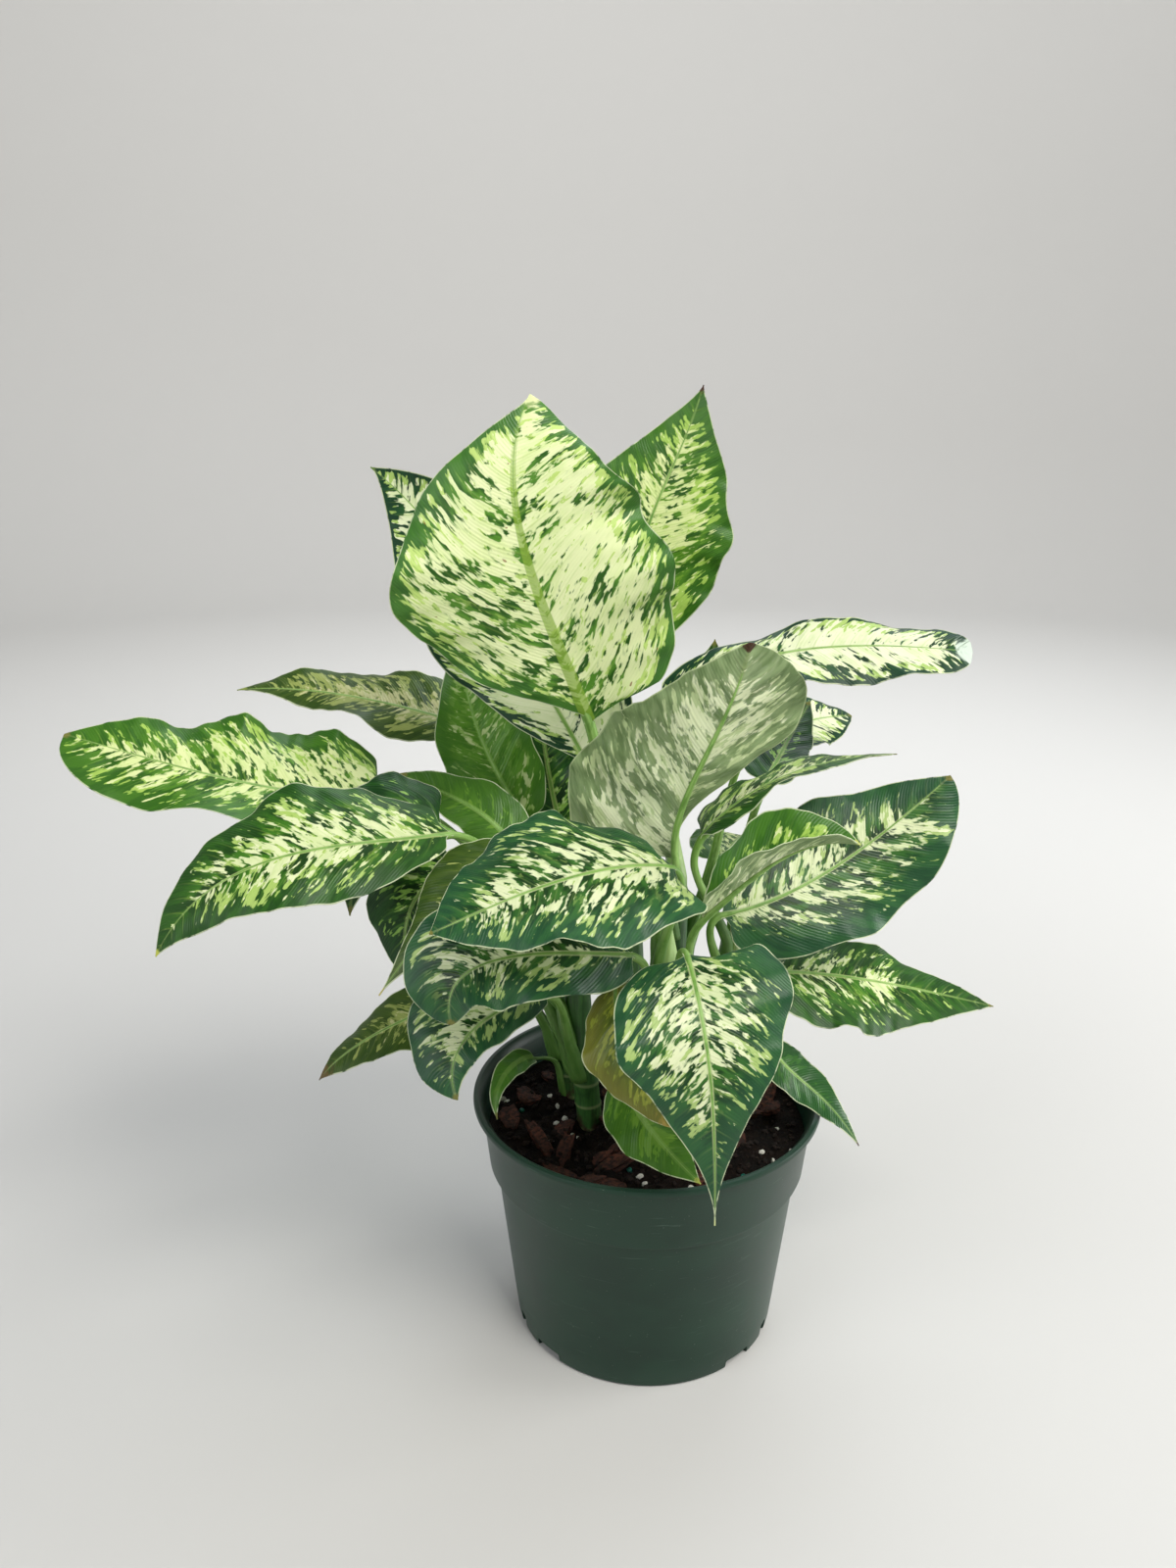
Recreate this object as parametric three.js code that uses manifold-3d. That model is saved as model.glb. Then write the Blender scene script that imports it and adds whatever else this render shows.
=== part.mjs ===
// A dieffenbachia in a green nursery pot: canes, leaves on long leaf stalks, bark chips and potting soil.
// Millimetres, +Z up, origin at the middle of the pot's underside. The plant's fullest side faces -Y.
import * as THREE from "three";
import { mergeVertices } from "three/addons/utils/BufferGeometryUtils.js";
import Module from "manifold-3d";

const wasm = await Module();
wasm.setup();

// Driving sizes of the pot.
const potHeight = 118;
const rimRadius = 82.5;
const lipThickness = 3;
const bandTop = { radius: 78.6, height: 114.5 };
const bandFoot = { radius: 75.4, height: 84.5 };
const wallTop = { radius: 72, height: 81.5 };
const wallFoot = { radius: 64.2, height: 12 };
const footRadius = 63;
const wall = 1.8;
const floorTop = 5.6;
const padRadius = 20;
const recess = { inner: 21, outer: 54.5, height: 2 };
const potSides = 48;
const footGap = { width: 15, height: 4.2, inner: 56, bearings: [45, 135, 225, 315] };
const drainSlot = { width: 6, height: 7, inner: 55.5, bearings: [24, 156, 204, 336] };

// Driving sizes of the soil and the canes.
const soilLevel = 102;
const clearance = 0.35;
const caneSink = 26;
const caneRadius = 6;
const caneSides = 10;
const barkChipCount = 16;

// Driving sizes that all leaves share.
const bladeThickness = 0.9;
const bladeSteps = [0, 0.03, 0.07, 0.15, 0.26, 0.37, 0.49, 0.61, 0.73, 0.84, 0.93, 1];
const stalkSteps = [0, 0.2, 0.44, 0.7, 0.91];
const stalkRootRadius = 3;
const stalkTipRadius = 1.7;
const ribDepth = 1.6;
const tipHalfWidth = 0.5;

// Shares of a blade's length, and what a leaf has where its own line doesn't say otherwise.
const neck = 0.05;
const lobeStart = 0.03;
const lobeLength = 0.06;
const plainFold = [8, 8];
const plainLobe = [0.1, 0.1];
const plainPhase = [0, 0.4];
const plainLean = 24;

// Canes: the middle of each at the soil's surface, and its tip, a rolled young leaf.
const canes = {
  cane_left: { foot: [-27, -4], tip: [-36, -10, 214] },
  cane_side: { foot: [-38, 24], tip: [-50, 22, 212] },
  cane_centre: { foot: [-3, 12], tip: [-13, 8, 252] },
  cane_front: { foot: [9, -28], tip: [8, -42, 224] },
  cane_right: { foot: [35, -2], tip: [40, -6, 212] },
  cane_back: { foot: [14, 40], tip: [12, 38, 236] },
};

// Leaves. spine: four points that the midrib passes, from the blade's base to its tip. up: the way the upper face
// looks at the base and at the tip. root: the height on the cane where the stalk leaves it. half: each half's
// greatest width. fold and curl: how far a half rises at the midrib and bends on its way out, in degrees. shape: how
// fast the outline widens and narrows again. lobe: how far it reaches back past the base. wave, waves and phase: the
// height and number of the waves in the margin, and where in a wave it starts. Pairs are the left half and the right
// half, seen from above, tip away.
const leaves = [
  { name: "leaf_top_front", cane: "cane_centre", root: 214, half: [54, 52], shape: [[1.5, 1.75], [0.35, 0.58]],
    curl: [-22, -18], wave: 5, waves: 2.4, cells: 6, lobe: [0, 0.08], stalk: 1.4, up: [[0.1, -1, 0.1], [0, -1, 0.3]],
    spine: [[-26, -26, 304], [-42, -42, 351], [-53, -48, 395], [-48, -34, 434]] },
  { name: "leaf_top_left", cane: "cane_centre", root: 198, half: [33, 40], shape: [[1.5, 1.5], [0.6, 1.05]],
    curl: [-10, 6], wave: 3, waves: 2, cells: 4, lobe: [0, 0.1], up: [[-0.2, -1, 0.2], [-0.2, -1, 0.4]],
    spine: [[-27, 0, 276], [-52, 6, 319], [-86, 10, 368], [-119, 4, 405]] },
  { name: "leaf_top_right", cane: "cane_back", root: 214, half: [31, 38], shape: [0.75, 1.2], curl: [-10, -10],
    wave: 2, waves: 2, cells: 4, up: [[0, -1, 0.4], [-0.2, -0.9, 0.5]],
    spine: [[-12, 22, 323], [-6, 34, 369], [7, 42, 403], [20, 44, 438]] },
  { name: "leaf_left_high", cane: "cane_side", root: 196, half: [19, 27], shape: [[0.6, 1.3], [0.6, 1.05]],
    curl: [-20, -20], wave: 4, waves: 2.4, cells: 4, turn: -30, up: [[0, -0.35, 0.93], [0, -0.4, 0.9]],
    spine: [[-74, 38, 281], [-117, 47, 291], [-161, 54, 297], [-202, 56, 297]] },
  { name: "leaf_left_far", cane: "cane_side", root: 182, half: [26, 38], shape: [[0.7, 0.42], [0.35, 0.75]],
    curl: [-14, -14], wave: 6, waves: [1.25, 2.9], phase: [0.66, 0.75], cells: 4,
    up: [[0, -0.5, 0.85], [0, -0.5, 0.85]],
    spine: [[-120, 8, 258], [-166, -2, 265], [-210, -8, 277], [-259, -8, 291]] },
  { name: "leaf_left_near", cane: "cane_left", root: 166, half: [26, 35], shape: [[0.8, 1], [0.6, 0.95]],
    curl: [-26, -20], wave: 3, waves: 2, cells: 6, lean: 38, lobe: [0.1, 0.13],
    up: [[-0.1, -0.5, 0.85], [-0.3, -0.6, 0.6]],
    spine: [[-83, -36, 258], [-124, -56, 259], [-165, -70, 251], [-199, -76, 217]] },
  { name: "leaf_left_mid", cane: "cane_side", root: 168, half: [20, 28], shape: [0.5, 1], curl: [-20, -20],
    wave: 2, waves: 2, cells: 4, lean: 8, up: [[0, -0.6, 0.8], [-0.4, -0.7, 0.6]],
    spine: [[-91, -19, 255], [-107, -26, 259], [-120, -34, 250], [-128, -40, 221]] },
  { name: "leaf_centre_left", cane: "cane_left", root: 190, half: [12, 15], shape: [0.5, 0.8], curl: [-14, -14],
    wave: 2, waves: 2, cells: 4, turn: -25, up: [[0, -0.8, 0.6], [0, -0.7, 0.7]],
    spine: [[-57, -17, 239], [-70, -9, 254], [-89, 1, 262], [-114, 9, 270]] },
  { name: "leaf_low_left_a", cane: "cane_left", root: 148, half: [16, 34], shape: [0.5, 1.1], curl: [-14, -14],
    wave: 1.5, waves: 2, cells: 4, lobe: [0, 0], up: [[-0.3, -0.6, 0.7], [-0.5, -0.7, 0.4]],
    spine: [[-84, -12, 233], [-98, -22, 228], [-106, -30, 212], [-103, -34, 186]] },
  { name: "leaf_left_olive", cane: "cane_left", root: 196, half: [20, 18], shape: [0.6, 1.5], curl: [-14, -14],
    wave: 2, waves: 2, cells: 4, up: [[-0.2, -0.8, 0.6], [-0.5, -0.8, 0.4]],
    spine: [[-58, -38, 250], [-73, -52, 243], [-90, -64, 226], [-110, -70, 199]] },
  { name: "leaf_front_centre", cane: "cane_front", root: 196, half: [34, 37], shape: [[0.45, 1], [0.6, 0.95]],
    curl: [-22, -26], wave: 4, waves: 2.2, cells: 6, turn: -30, lobe: [0.32, 0.15],
    up: [[0, -0.5, 0.86], [-0.1, -0.5, 0.86]],
    spine: [[10, -58, 253], [-23, -84, 260], [-54, -102, 255], [-80, -112, 246]] },
  { name: "leaf_front_under", cane: "cane_front", root: 170, half: [20, 34], shape: [[0.55, 0.6], [0.9, 0.65]],
    curl: [-12, -18], wave: [5, 3], waves: 2.2, phase: [0.41, 0.4], cells: 4, turn: -12,
    up: [[-0.1, -0.7, 0.7], [-0.3, -0.7, 0.6]],
    spine: [[-6, -62, 216], [-35, -79, 224], [-66, -91, 223], [-76, -95, 200]] },
  { name: "leaf_low_left", cane: "cane_left", root: 146, half: [12, 31], shape: [0.65, 0.85], curl: [-20, -20],
    wave: 1.5, waves: 2, cells: 4, up: [[0, -0.6, 0.8], [-0.3, -0.9, 0.2]],
    spine: [[-44, -30, 181], [-63, -50, 183], [-78, -66, 174], [-78, -76, 155]] },
  { name: "leaf_low_left_back", cane: "cane_side", root: 140, half: [18, 18], shape: [0.6, 1.05], curl: [-20, -20],
    wave: 2, waves: 2, cells: 4, up: [[0, -0.4, 0.9], [-0.5, -0.4, 0.7]],
    spine: [[-72, 4, 166], [-103, -4, 158], [-133, -10, 144], [-155, -12, 124]] },
  { name: "leaf_small_pot", cane: "cane_side", root: 118, half: [6, 6], shape: [0.6, 1.05], curl: [10, 10],
    wave: 0.5, waves: 2, cells: 4, stalk: 0.5, up: [[0, -0.7, 0.7], [-0.3, -0.8, 0.3]],
    spine: [[-54, 2, 131], [-61, -10, 135], [-68, -20, 129], [-68, -30, 117]] },
  { name: "leaf_front_low", cane: "cane_front", root: 160, half: [37, 35], shape: [[0.5, 1.9], [0.75, 1.9]],
    curl: [-22, -18], wave: 3, waves: 2.2, cells: 6, lobe: [0.2, 0.1], up: [[0.1, -0.6, 0.8], [0, -1, 0]],
    spine: [[15, -72, 222], [22, -102, 201], [26, -108, 166], [28, -104, 119]] },
  { name: "leaf_yellowing", cane: "cane_front", root: 144, half: [18, 18], shape: [0.6, 1.05], curl: [-16, -16],
    wave: 2, waves: 2, cells: 4, up: [[-0.4, -0.8, 0.5], [-0.3, -0.9, 0]],
    spine: [[-13, -63, 204], [-10, -85, 191], [0, -92, 172], [16, -92, 154]] },
  { name: "leaf_low_small", cane: "cane_front", root: 124, half: [15, 15], shape: [0.6, 1.05], curl: [-10, -10],
    wave: 1.2, waves: 2, cells: 4, stalk: 0.7, up: [[-0.2, -0.6, 0.8], [-0.2, -0.8, 0.6]],
    spine: [[-11, -52, 153], [-3, -72, 149], [8, -81, 139], [23, -84, 124]] },
  { name: "leaf_low_right", cane: "cane_right", root: 126, half: [10, 10], shape: [0.6, 1.05], curl: [-14, -14],
    wave: 1.2, waves: 2, cells: 4, stalk: 0.7, up: [[0.3, -0.7, 0.6], [0.4, -0.8, 0.5]],
    spine: [[56, -16, 153], [66, -18, 139], [81, -20, 126], [99, -18, 101]] },
  { name: "leaf_right_low", cane: "cane_right", root: 142, half: [22, 30], shape: [0.6, 1.05], curl: [-18, -18],
    wave: 3, waves: 2.4, cells: 4, up: [[0, -0.5, 0.85], [0.1, -0.5, 0.85]],
    spine: [[52, -4, 182], [86, 8, 175], [122, 16, 166], [165, 20, 155]] },
  { name: "leaf_right_big", cane: "cane_right", root: 178, half: [33, 33], shape: [[0.6, 0.95], [0.6, 0.58]],
    curl: [-22, -26], wave: 4, waves: 2.2, cells: 6, lobe: [0.15, 0.15], up: [[0.1, -0.8, 0.55], [0.1, -0.8, 0.6]],
    spine: [[31, -24, 218], [66, -8, 225], [101, 6, 244], [134, 16, 271]] },
  { name: "leaf_right_curl", cane: "cane_front", root: 186, half: [18, 22], shape: [[1.1, 1], [0.6, 1.05]],
    fold: [62, 54], curl: [-10, -10], wave: 1.5, waves: 2, cells: 4, up: [[-0.4, -0.2, 0.9], [0.1, -0.2, 1]],
    spine: [[22, -58, 232], [40, -60, 250], [60, -58, 262], [84, -52, 262]] },
  { name: "leaf_right_high", cane: "cane_back", root: 200, half: [17, 20], shape: [0.5, 0.34], curl: [-20, -24],
    wave: 3, waves: 2.2, cells: 4, lobe: [0.15, 0.15], up: [[0, -0.55, 0.83], [0, -0.55, 0.83]],
    spine: [[1, 10, 305], [47, 14, 324], [93, 18, 329], [139, 18, 327]] },
  { name: "leaf_front_underside", cane: "cane_front", root: 204, half: [34, 48], shape: [[3, 0.9], [0.3, 0.85]],
    fold: [36, 8], curl: [-14, -14], wave: 2, waves: 2, cells: 4, turn: 70, lean: 12, lobe: [0, 0.12],
    up: [[0.25, 0.92, 0.3], [0.1, 0.92, 0.3]],
    spine: [[11, -36, 248], [14, -44, 277], [26, -56, 310], [36, -66, 346]] },
  { name: "leaf_right_dark", cane: "cane_right", root: 192, half: [18, 13], shape: [0.6, 0.9], curl: [-14, -14],
    wave: 1.5, waves: 2, cells: 4, turn: 30, up: [[0, -0.5, 0.85], [0, -0.5, 0.85]],
    spine: [[52, 20, 265], [59, 36, 272], [67, 54, 280], [77, 72, 291]] },
  { name: "leaf_right_back", cane: "cane_back", root: 186, half: [21, 19], shape: [0.6, 0.8], curl: [-14, -14],
    wave: 2, waves: 2, cells: 4, up: [[0, -0.6, 0.8], [0, -0.6, 0.8]],
    spine: [[49, 54, 275], [65, 76, 276], [84, 96, 276], [104, 112, 274]] },
  { name: "leaf_right_edge_on", cane: "cane_right", root: 200, half: [26, 10], shape: [0.4, 1.05], fold: [4, 4],
    curl: [-14, -14], wave: 2, waves: 2, cells: 4, up: [[-0.3, 0, 1], [0, 0.1, 1]],
    spine: [[21, -22, 253], [47, -16, 274], [76, -10, 284], [105, -6, 287]] },
  { name: "leaf_centre_plain", cane: "cane_left", root: 204, half: [22, 22], shape: [0.6, 1.05], curl: [-14, -14],
    wave: 2, waves: 2, cells: 4, up: [[0.1, -0.9, 0.3], [0, -0.9, 0.4]],
    spine: [[-56, 16, 243], [-73, 22, 271], [-84, 30, 297], [-90, 38, 328]] },
  { name: "leaf_centre_dark", cane: "cane_centre", root: 178, half: [14, 26], shape: [0.6, 1.05], curl: [-14, -14],
    wave: 2, waves: 2, cells: 4, turn: 20, lobe: [0, 0], up: [[0, -0.9, 0.2], [0, -0.9, 0.3]],
    spine: [[-41, 28, 234], [-46, 30, 254], [-50, 34, 276], [-52, 36, 300]] },
  { name: "leaf_back_tip", cane: "cane_back", root: 172, half: [22, 22], shape: [0.6, 1.05], curl: [-14, -14],
    wave: 2, waves: 2, cells: 4, up: [[0, -0.7, 0.7], [0, -0.8, 0.6]],
    spine: [[12, 46, 258], [19, 62, 276], [26, 72, 295], [30, 78, 320]] },
  { name: "leaf_rear_left", cane: "cane_side", root: 154, half: [28, 28], shape: [0.6, 1.05], curl: [-18, -18],
    wave: 3, waves: 2.2, cells: 4, up: [[-0.2, 0.4, 0.9], [-0.3, 0.6, 0.6]],
    spine: [[-62, 62, 216], [-78, 88, 228], [-88, 112, 228], [-94, 132, 212]] },
  { name: "leaf_rear_centre", cane: "cane_centre", root: 168, half: [30, 30], shape: [0.6, 1.05], curl: [-18, -18],
    wave: 3, waves: 2.2, cells: 4, up: [[0, 0.4, 0.9], [-0.1, 0.6, 0.6]],
    spine: [[-16, 70, 224], [-22, 98, 236], [-28, 122, 230], [-32, 142, 208]] },
  { name: "leaf_rear_right", cane: "cane_back", root: 156, half: [28, 28], shape: [0.6, 1.05], curl: [-18, -18],
    wave: 3, waves: 2.2, cells: 4, up: [[0.1, 0.4, 0.9], [0.2, 0.6, 0.6]],
    spine: [[38, 84, 200], [48, 110, 206], [56, 132, 196], [62, 148, 174]] },
  { name: "leaf_rear_low", cane: "cane_back", root: 138, half: [20, 20], shape: [0.6, 1.05], curl: [-18, -18],
    wave: 2, waves: 2.2, cells: 4, up: [[0, 0.4, 0.9], [0, 0.7, 0.5]],
    spine: [[4, 72, 170], [2, 92, 170], [0, 110, 160], [-2, 124, 142]] },
];

const v3 = (p) => new THREE.Vector3(...p);
const pick = (value, side) => (Array.isArray(value) ? value[side] : value);
const radians = THREE.MathUtils.degToRad;

// A closed skin over rings of points, each ring running the same way round. pairs is the number of points on the
// upper side of a ring, whose cells are split along the same diagonal as the cells below them.
function skin(rings, pairs) {
  const count = rings[0].length;
  const middle = (ring) => ring.reduce((sum, p) => sum.add(p), new THREE.Vector3()).divideScalar(count);
  const points = [...rings.flat(), middle(rings[0]), middle(rings.at(-1))];
  const faces = [];
  for (let i = 0; i < rings.length - 1; i++) {
    for (let j = 0; j < count; j++) {
      const next = (j + 1) % count;
      const [a, b, c, d] = [i * count + j, i * count + next, (i + 1) * count + next, (i + 1) * count + j];
      faces.push(...(j < pairs ? [a, b, c, a, c, d] : [a, b, d, b, c, d]));
    }
  }
  const last = (rings.length - 1) * count;
  for (let j = 0; j < count; j++) {
    const next = (j + 1) % count;
    faces.push(points.length - 2, next, j, points.length - 1, last + j, last + next);
  }
  const geometry = new THREE.BufferGeometry().setFromPoints(points);
  geometry.setIndex(faces);
  return geometry;
}

// The cubic curve that passes four points at even steps.
function curveThrough(points) {
  const [a, b, c, d] = points.map(v3);
  const first = a.clone().multiplyScalar(-5).addScaledVector(b, 18).addScaledVector(c, -9).addScaledVector(d, 2);
  const second = a.clone().multiplyScalar(2).addScaledVector(b, -9).addScaledVector(c, 18).addScaledVector(d, -5);
  return new THREE.CubicBezierCurve3(a, first.divideScalar(6), second.divideScalar(6), d);
}

// Canes. They lean a little, are ringed by old leaf scars where they are bare, and end in a rolled young leaf.
function caneAxis(cane, height) {
  const foot = v3([...cane.foot, soilLevel]);
  const tip = v3(cane.tip);
  return foot.lerp(tip, (height - soilLevel) / (tip.z - soilLevel));
}

function caneRadiusAt(cane, height) {
  const left = cane.tip[2] - height;
  const scar = height < 150 ? 0.35 * Math.max(0, Math.cos((2 * Math.PI * (height - 4)) / 12)) : 0;
  return Math.min(caneRadius, 1 + left * 0.2) + scar;
}

function caneGeometry(cane, extra = 0) {
  const rings = [];
  const heights = [soilLevel - caneSink - extra, soilLevel];
  for (let height = soilLevel + 6; height < 148; height += 6) {
    heights.push(height);
  }
  heights.push(168, cane.tip[2] - 24, cane.tip[2] - 12, cane.tip[2]);
  for (const height of extra > 0 ? [heights[0], soilLevel + 12] : heights) {
    const centre = caneAxis(cane, height);
    const radius = extra > 0 ? caneRadius + 0.4 + extra : caneRadiusAt(cane, height);
    rings.push(
      Array.from({ length: caneSides }, (_, k) => {
        const angle = (-2 * Math.PI * k) / caneSides;
        return centre.clone().add(v3([radius * Math.cos(angle), radius * Math.sin(angle), 0]));
      }),
    );
  }
  return skin(rings.map((ring) => ring.reverse()), caneSides);
}

// Leaves. A blade's upper face is a surface over t, from base to tip, and u, from its left margin to its right.
function bladeFrame(leaf, t) {
  const along = leaf.curve.getTangent(t).normalize();
  const out = v3(leaf.up[0]).lerp(v3(leaf.up[1]), t);
  out.addScaledVector(along, -out.dot(along)).normalize();
  return { along, out, across: along.clone().cross(out) };
}

function outline(leaf, t, side) {
  const [rise, fall] = Array.isArray(leaf.shape[0]) ? leaf.shape[side] : leaf.shape;
  const widest = rise / (rise + fall);
  return Math.pow(t / widest, rise) * Math.pow((1 - t) / (1 - widest), fall);
}

function bladePoint(leaf, t, u) {
  const side = u < 0 ? 0 : 1;
  const v = Math.abs(u);
  const { along, out, across } = bladeFrame(leaf, t);
  const body = outline(leaf, t, side);
  const base = stalkTipRadius * (leaf.stalk ?? 1) * Math.max(0, 1 - t / neck);
  const width = Math.max(leaf.half[side] * body * Math.min(1, t / neck), tipHalfWidth, base);
  const start = radians((leaf.fold ?? plainFold)[side]);
  const bend = radians(leaf.curl[side]) + 1e-6;
  const reach = (width * (Math.sin(start + bend * v) - Math.sin(start))) / bend;
  const rise = (width * (Math.cos(start) - Math.cos(start + bend * v))) / bend;
  const turns = pick(leaf.waves, side) * t + (leaf.phase ?? plainPhase)[side];
  const ripple = pick(leaf.wave, side) * body * v * v * Math.sin(2 * Math.PI * turns);
  const lobe = (leaf.lobe ?? plainLobe)[side] * leaf.half[side];
  const past = Math.max(0, t - lobeStart) / lobeLength;
  const back = lobe * v * v * past * Math.exp(1 - past);
  return leaf.curve
    .getPoint(t)
    .addScaledVector(across, reach * Math.sign(u))
    .addScaledVector(out, rise + ripple)
    .addScaledVector(along, -back);
}

function bladeNormal(leaf, t, u) {
  const side = u < 0 ? 0 : 1;
  const slope = radians((leaf.fold ?? plainFold)[side] + leaf.curl[side] * Math.abs(u));
  const { out, across } = bladeFrame(leaf, t);
  return out.multiplyScalar(Math.cos(slope)).addScaledVector(across, -Math.sin(slope) * Math.sign(u));
}

function bladeRing(leaf, t) {
  const places = Array.from({ length: leaf.cells + 1 }, (_, j) => (2 * j) / leaf.cells - 1);
  const upper = places.map((u) => bladePoint(leaf, t, u));
  const lower = places.map((u, j) => {
    const rib = ribDepth * Math.max(0, 1 - Math.abs(u) * 2) * (1 - 0.8 * t);
    return upper[j].clone().addScaledVector(bladeNormal(leaf, t, u), -bladeThickness - rib);
  });
  return [...upper, ...lower.reverse()];
}

function stalkCurve(leaf) {
  const cane = canes[leaf.cane];
  const axis = caneAxis(cane, leaf.root);
  const base = leaf.curve.getPoint(0);
  const outward = base.clone().sub(axis).setZ(0).normalize();
  outward.applyAxisAngle(v3([0, 0, 1]), radians(leaf.turn ?? 0));
  const lean = radians(leaf.lean ?? plainLean);
  const away = caneRadiusAt(cane, leaf.root) + 0.3 + stalkRootRadius * (leaf.stalk ?? 1) * Math.cos(lean);
  const root = axis.addScaledVector(outward, away);
  const reach = root.distanceTo(base);
  const start = outward.clone().multiplyScalar(Math.sin(lean)).setZ(Math.cos(lean));
  const { along } = bladeFrame(leaf, 0);
  const arrive = base.clone().sub(root).normalize().multiplyScalar(0.25).addScaledVector(along, 0.75).normalize();
  return new THREE.CubicBezierCurve3(
    root,
    root.clone().addScaledVector(start, reach * (leaf.reach ?? 0.4)),
    base.clone().addScaledVector(arrive, -reach * 0.3),
    base,
  );
}

function stalkRings(leaf) {
  const curve = stalkCurve(leaf);
  const count = 2 * leaf.cells + 2;
  const rings = [];
  let { out } = bladeFrame(leaf, 0);
  for (const s of [...stalkSteps].reverse()) {
    const along = curve.getTangent(s).normalize();
    out = out.clone().addScaledVector(along, -out.dot(along)).normalize();
    const across = along.clone().cross(out);
    const radius = (leaf.stalk ?? 1) * THREE.MathUtils.lerp(stalkRootRadius, stalkTipRadius, Math.min(1, s * 1.6));
    const centre = curve.getPoint(s);
    rings.unshift(
      Array.from({ length: count }, (_, j) => {
        const angle = Math.PI - ((j + 0.5) * 2 * Math.PI) / count;
        return centre
          .clone()
          .addScaledVector(across, radius * Math.cos(angle))
          .addScaledVector(out, radius * Math.sin(angle));
      }),
    );
  }
  return rings;
}

function leafGeometry(spec) {
  const leaf = { ...spec, curve: curveThrough(spec.spine) };
  const rings = [...stalkRings(leaf), ...bladeSteps.map((t) => bladeRing(leaf, t))];
  return skin(rings, leaf.cells);
}

// A mesh's closed geometry as a solid for cutting, and back.
function toSolid(geometry) {
  const bare = geometry.clone();
  bare.deleteAttribute("normal");
  bare.deleteAttribute("uv");
  const merged = mergeVertices(bare, 1e-4);
  return new wasm.Manifold(
    new wasm.Mesh({
      numProp: 3,
      vertProperties: new Float32Array(merged.attributes.position.array),
      triVerts: new Uint32Array(merged.index.array),
    }),
  );
}

function fromSolid(solid) {
  const { vertProperties, triVerts, numProp } = solid.getMesh();
  const corners = new Float32Array((vertProperties.length / numProp) * 3);
  for (let i = 0; i < corners.length / 3; i++) {
    corners.set(vertProperties.subarray(i * numProp, i * numProp + 3), i * 3);
  }
  return new THREE.BufferGeometry()
    .setAttribute("position", new THREE.BufferAttribute(corners, 3))
    .setIndex(new THREE.BufferAttribute(triVerts, 1));
}

// A turned solid: an outline of radius and height pairs that starts and ends on the axis.
function turned(profile) {
  const outlinePoints = profile.map(([radius, height]) => new THREE.Vector2(radius, height));
  const geometry = new THREE.LatheGeometry(outlinePoints, potSides);
  geometry.rotateX(Math.PI / 2);
  return geometry;
}

// Pot: a thin turned wall with a wider band under its lip, a raised floor, feet, and slots that let water out.
const inner = {
  lip: [rimRadius - lipThickness, potHeight],
  bandTop: [bandTop.radius - wall, bandTop.height - 1],
  bandFoot: [bandFoot.radius - wall, bandFoot.height],
  wallTop: [wallTop.radius - wall, wallTop.height - 1],
  wallFoot: [wallFoot.radius - wall, wallFoot.height],
  corner: [footRadius - 4, floorTop],
};

function potGeometry() {
  let solid = toSolid(
    turned([
      [0, 0],
      [padRadius, 0],
      [recess.inner, recess.height],
      [recess.outer, recess.height],
      [recess.outer + 1, 0],
      [footRadius - 1, 0],
      [footRadius, 2],
      [wallFoot.radius, wallFoot.height],
      [wallTop.radius, wallTop.height],
      [bandFoot.radius, bandFoot.height],
      [bandTop.radius, bandTop.height],
      [rimRadius - 0.4, bandTop.height + 0.5],
      [rimRadius, potHeight - 1],
      [rimRadius - 1, potHeight],
      inner.lip,
      inner.bandTop,
      inner.bandFoot,
      inner.wallTop,
      inner.wallFoot,
      inner.corner,
      [0, floorTop],
    ]),
  );
  for (const cut of [footGap, drainSlot]) {
    for (const bearing of cut.bearings) {
      const block = new THREE.BoxGeometry(20, cut.width, 2 * cut.height);
      block.translate(cut.inner + 10, 0, 0).rotateZ(radians(bearing));
      solid = solid.subtract(toSolid(block));
    }
  }
  return fromSolid(solid);
}

// Soil: fills the pot to below its lip, with a lumpy top and a plain hole for each cane.
function soilGeometry() {
  const gap = clearance;
  const rim = THREE.MathUtils.mapLinear(
    soilLevel, inner.bandFoot[1], inner.bandTop[1], inner.bandFoot[0], inner.bandTop[0],
  );
  const geometry = turned([
    [0, floorTop + gap],
    [inner.corner[0] - gap, floorTop + gap],
    [inner.wallFoot[0] - gap, inner.wallFoot[1]],
    [inner.wallTop[0] - gap, inner.wallTop[1] + 0.1],
    [inner.bandFoot[0] - gap, inner.bandFoot[1] + 0.1],
    [rim - gap, soilLevel],
    [66, soilLevel],
    [52, soilLevel],
    [37, soilLevel],
    [20, soilLevel],
    [0, soilLevel],
  ]);
  const place = geometry.attributes.position;
  for (let i = 0; i < place.count; i++) {
    const [x, y, z] = [place.getX(i), place.getY(i), place.getZ(i)];
    if (z > soilLevel - 1 && Math.hypot(x, y) < 70) {
      place.setZ(i, soilHeight(x, y));
    }
  }
  let solid = toSolid(geometry);
  for (const chip of barkChips()) {
    solid = solid.add(toSolid(chip));
  }
  for (const cane of Object.values(canes)) {
    solid = solid.subtract(toSolid(caneGeometry(cane, 0.4)));
  }
  return fromSolid(solid);
}

function soilHeight(x, y) {
  const lumps = 1.3 * Math.sin(x * 0.17 + 1) * Math.cos(y * 0.21) + 0.9 * Math.sin(x * 0.4 - y * 0.33);
  return soilLevel - 1 + lumps;
}

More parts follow.
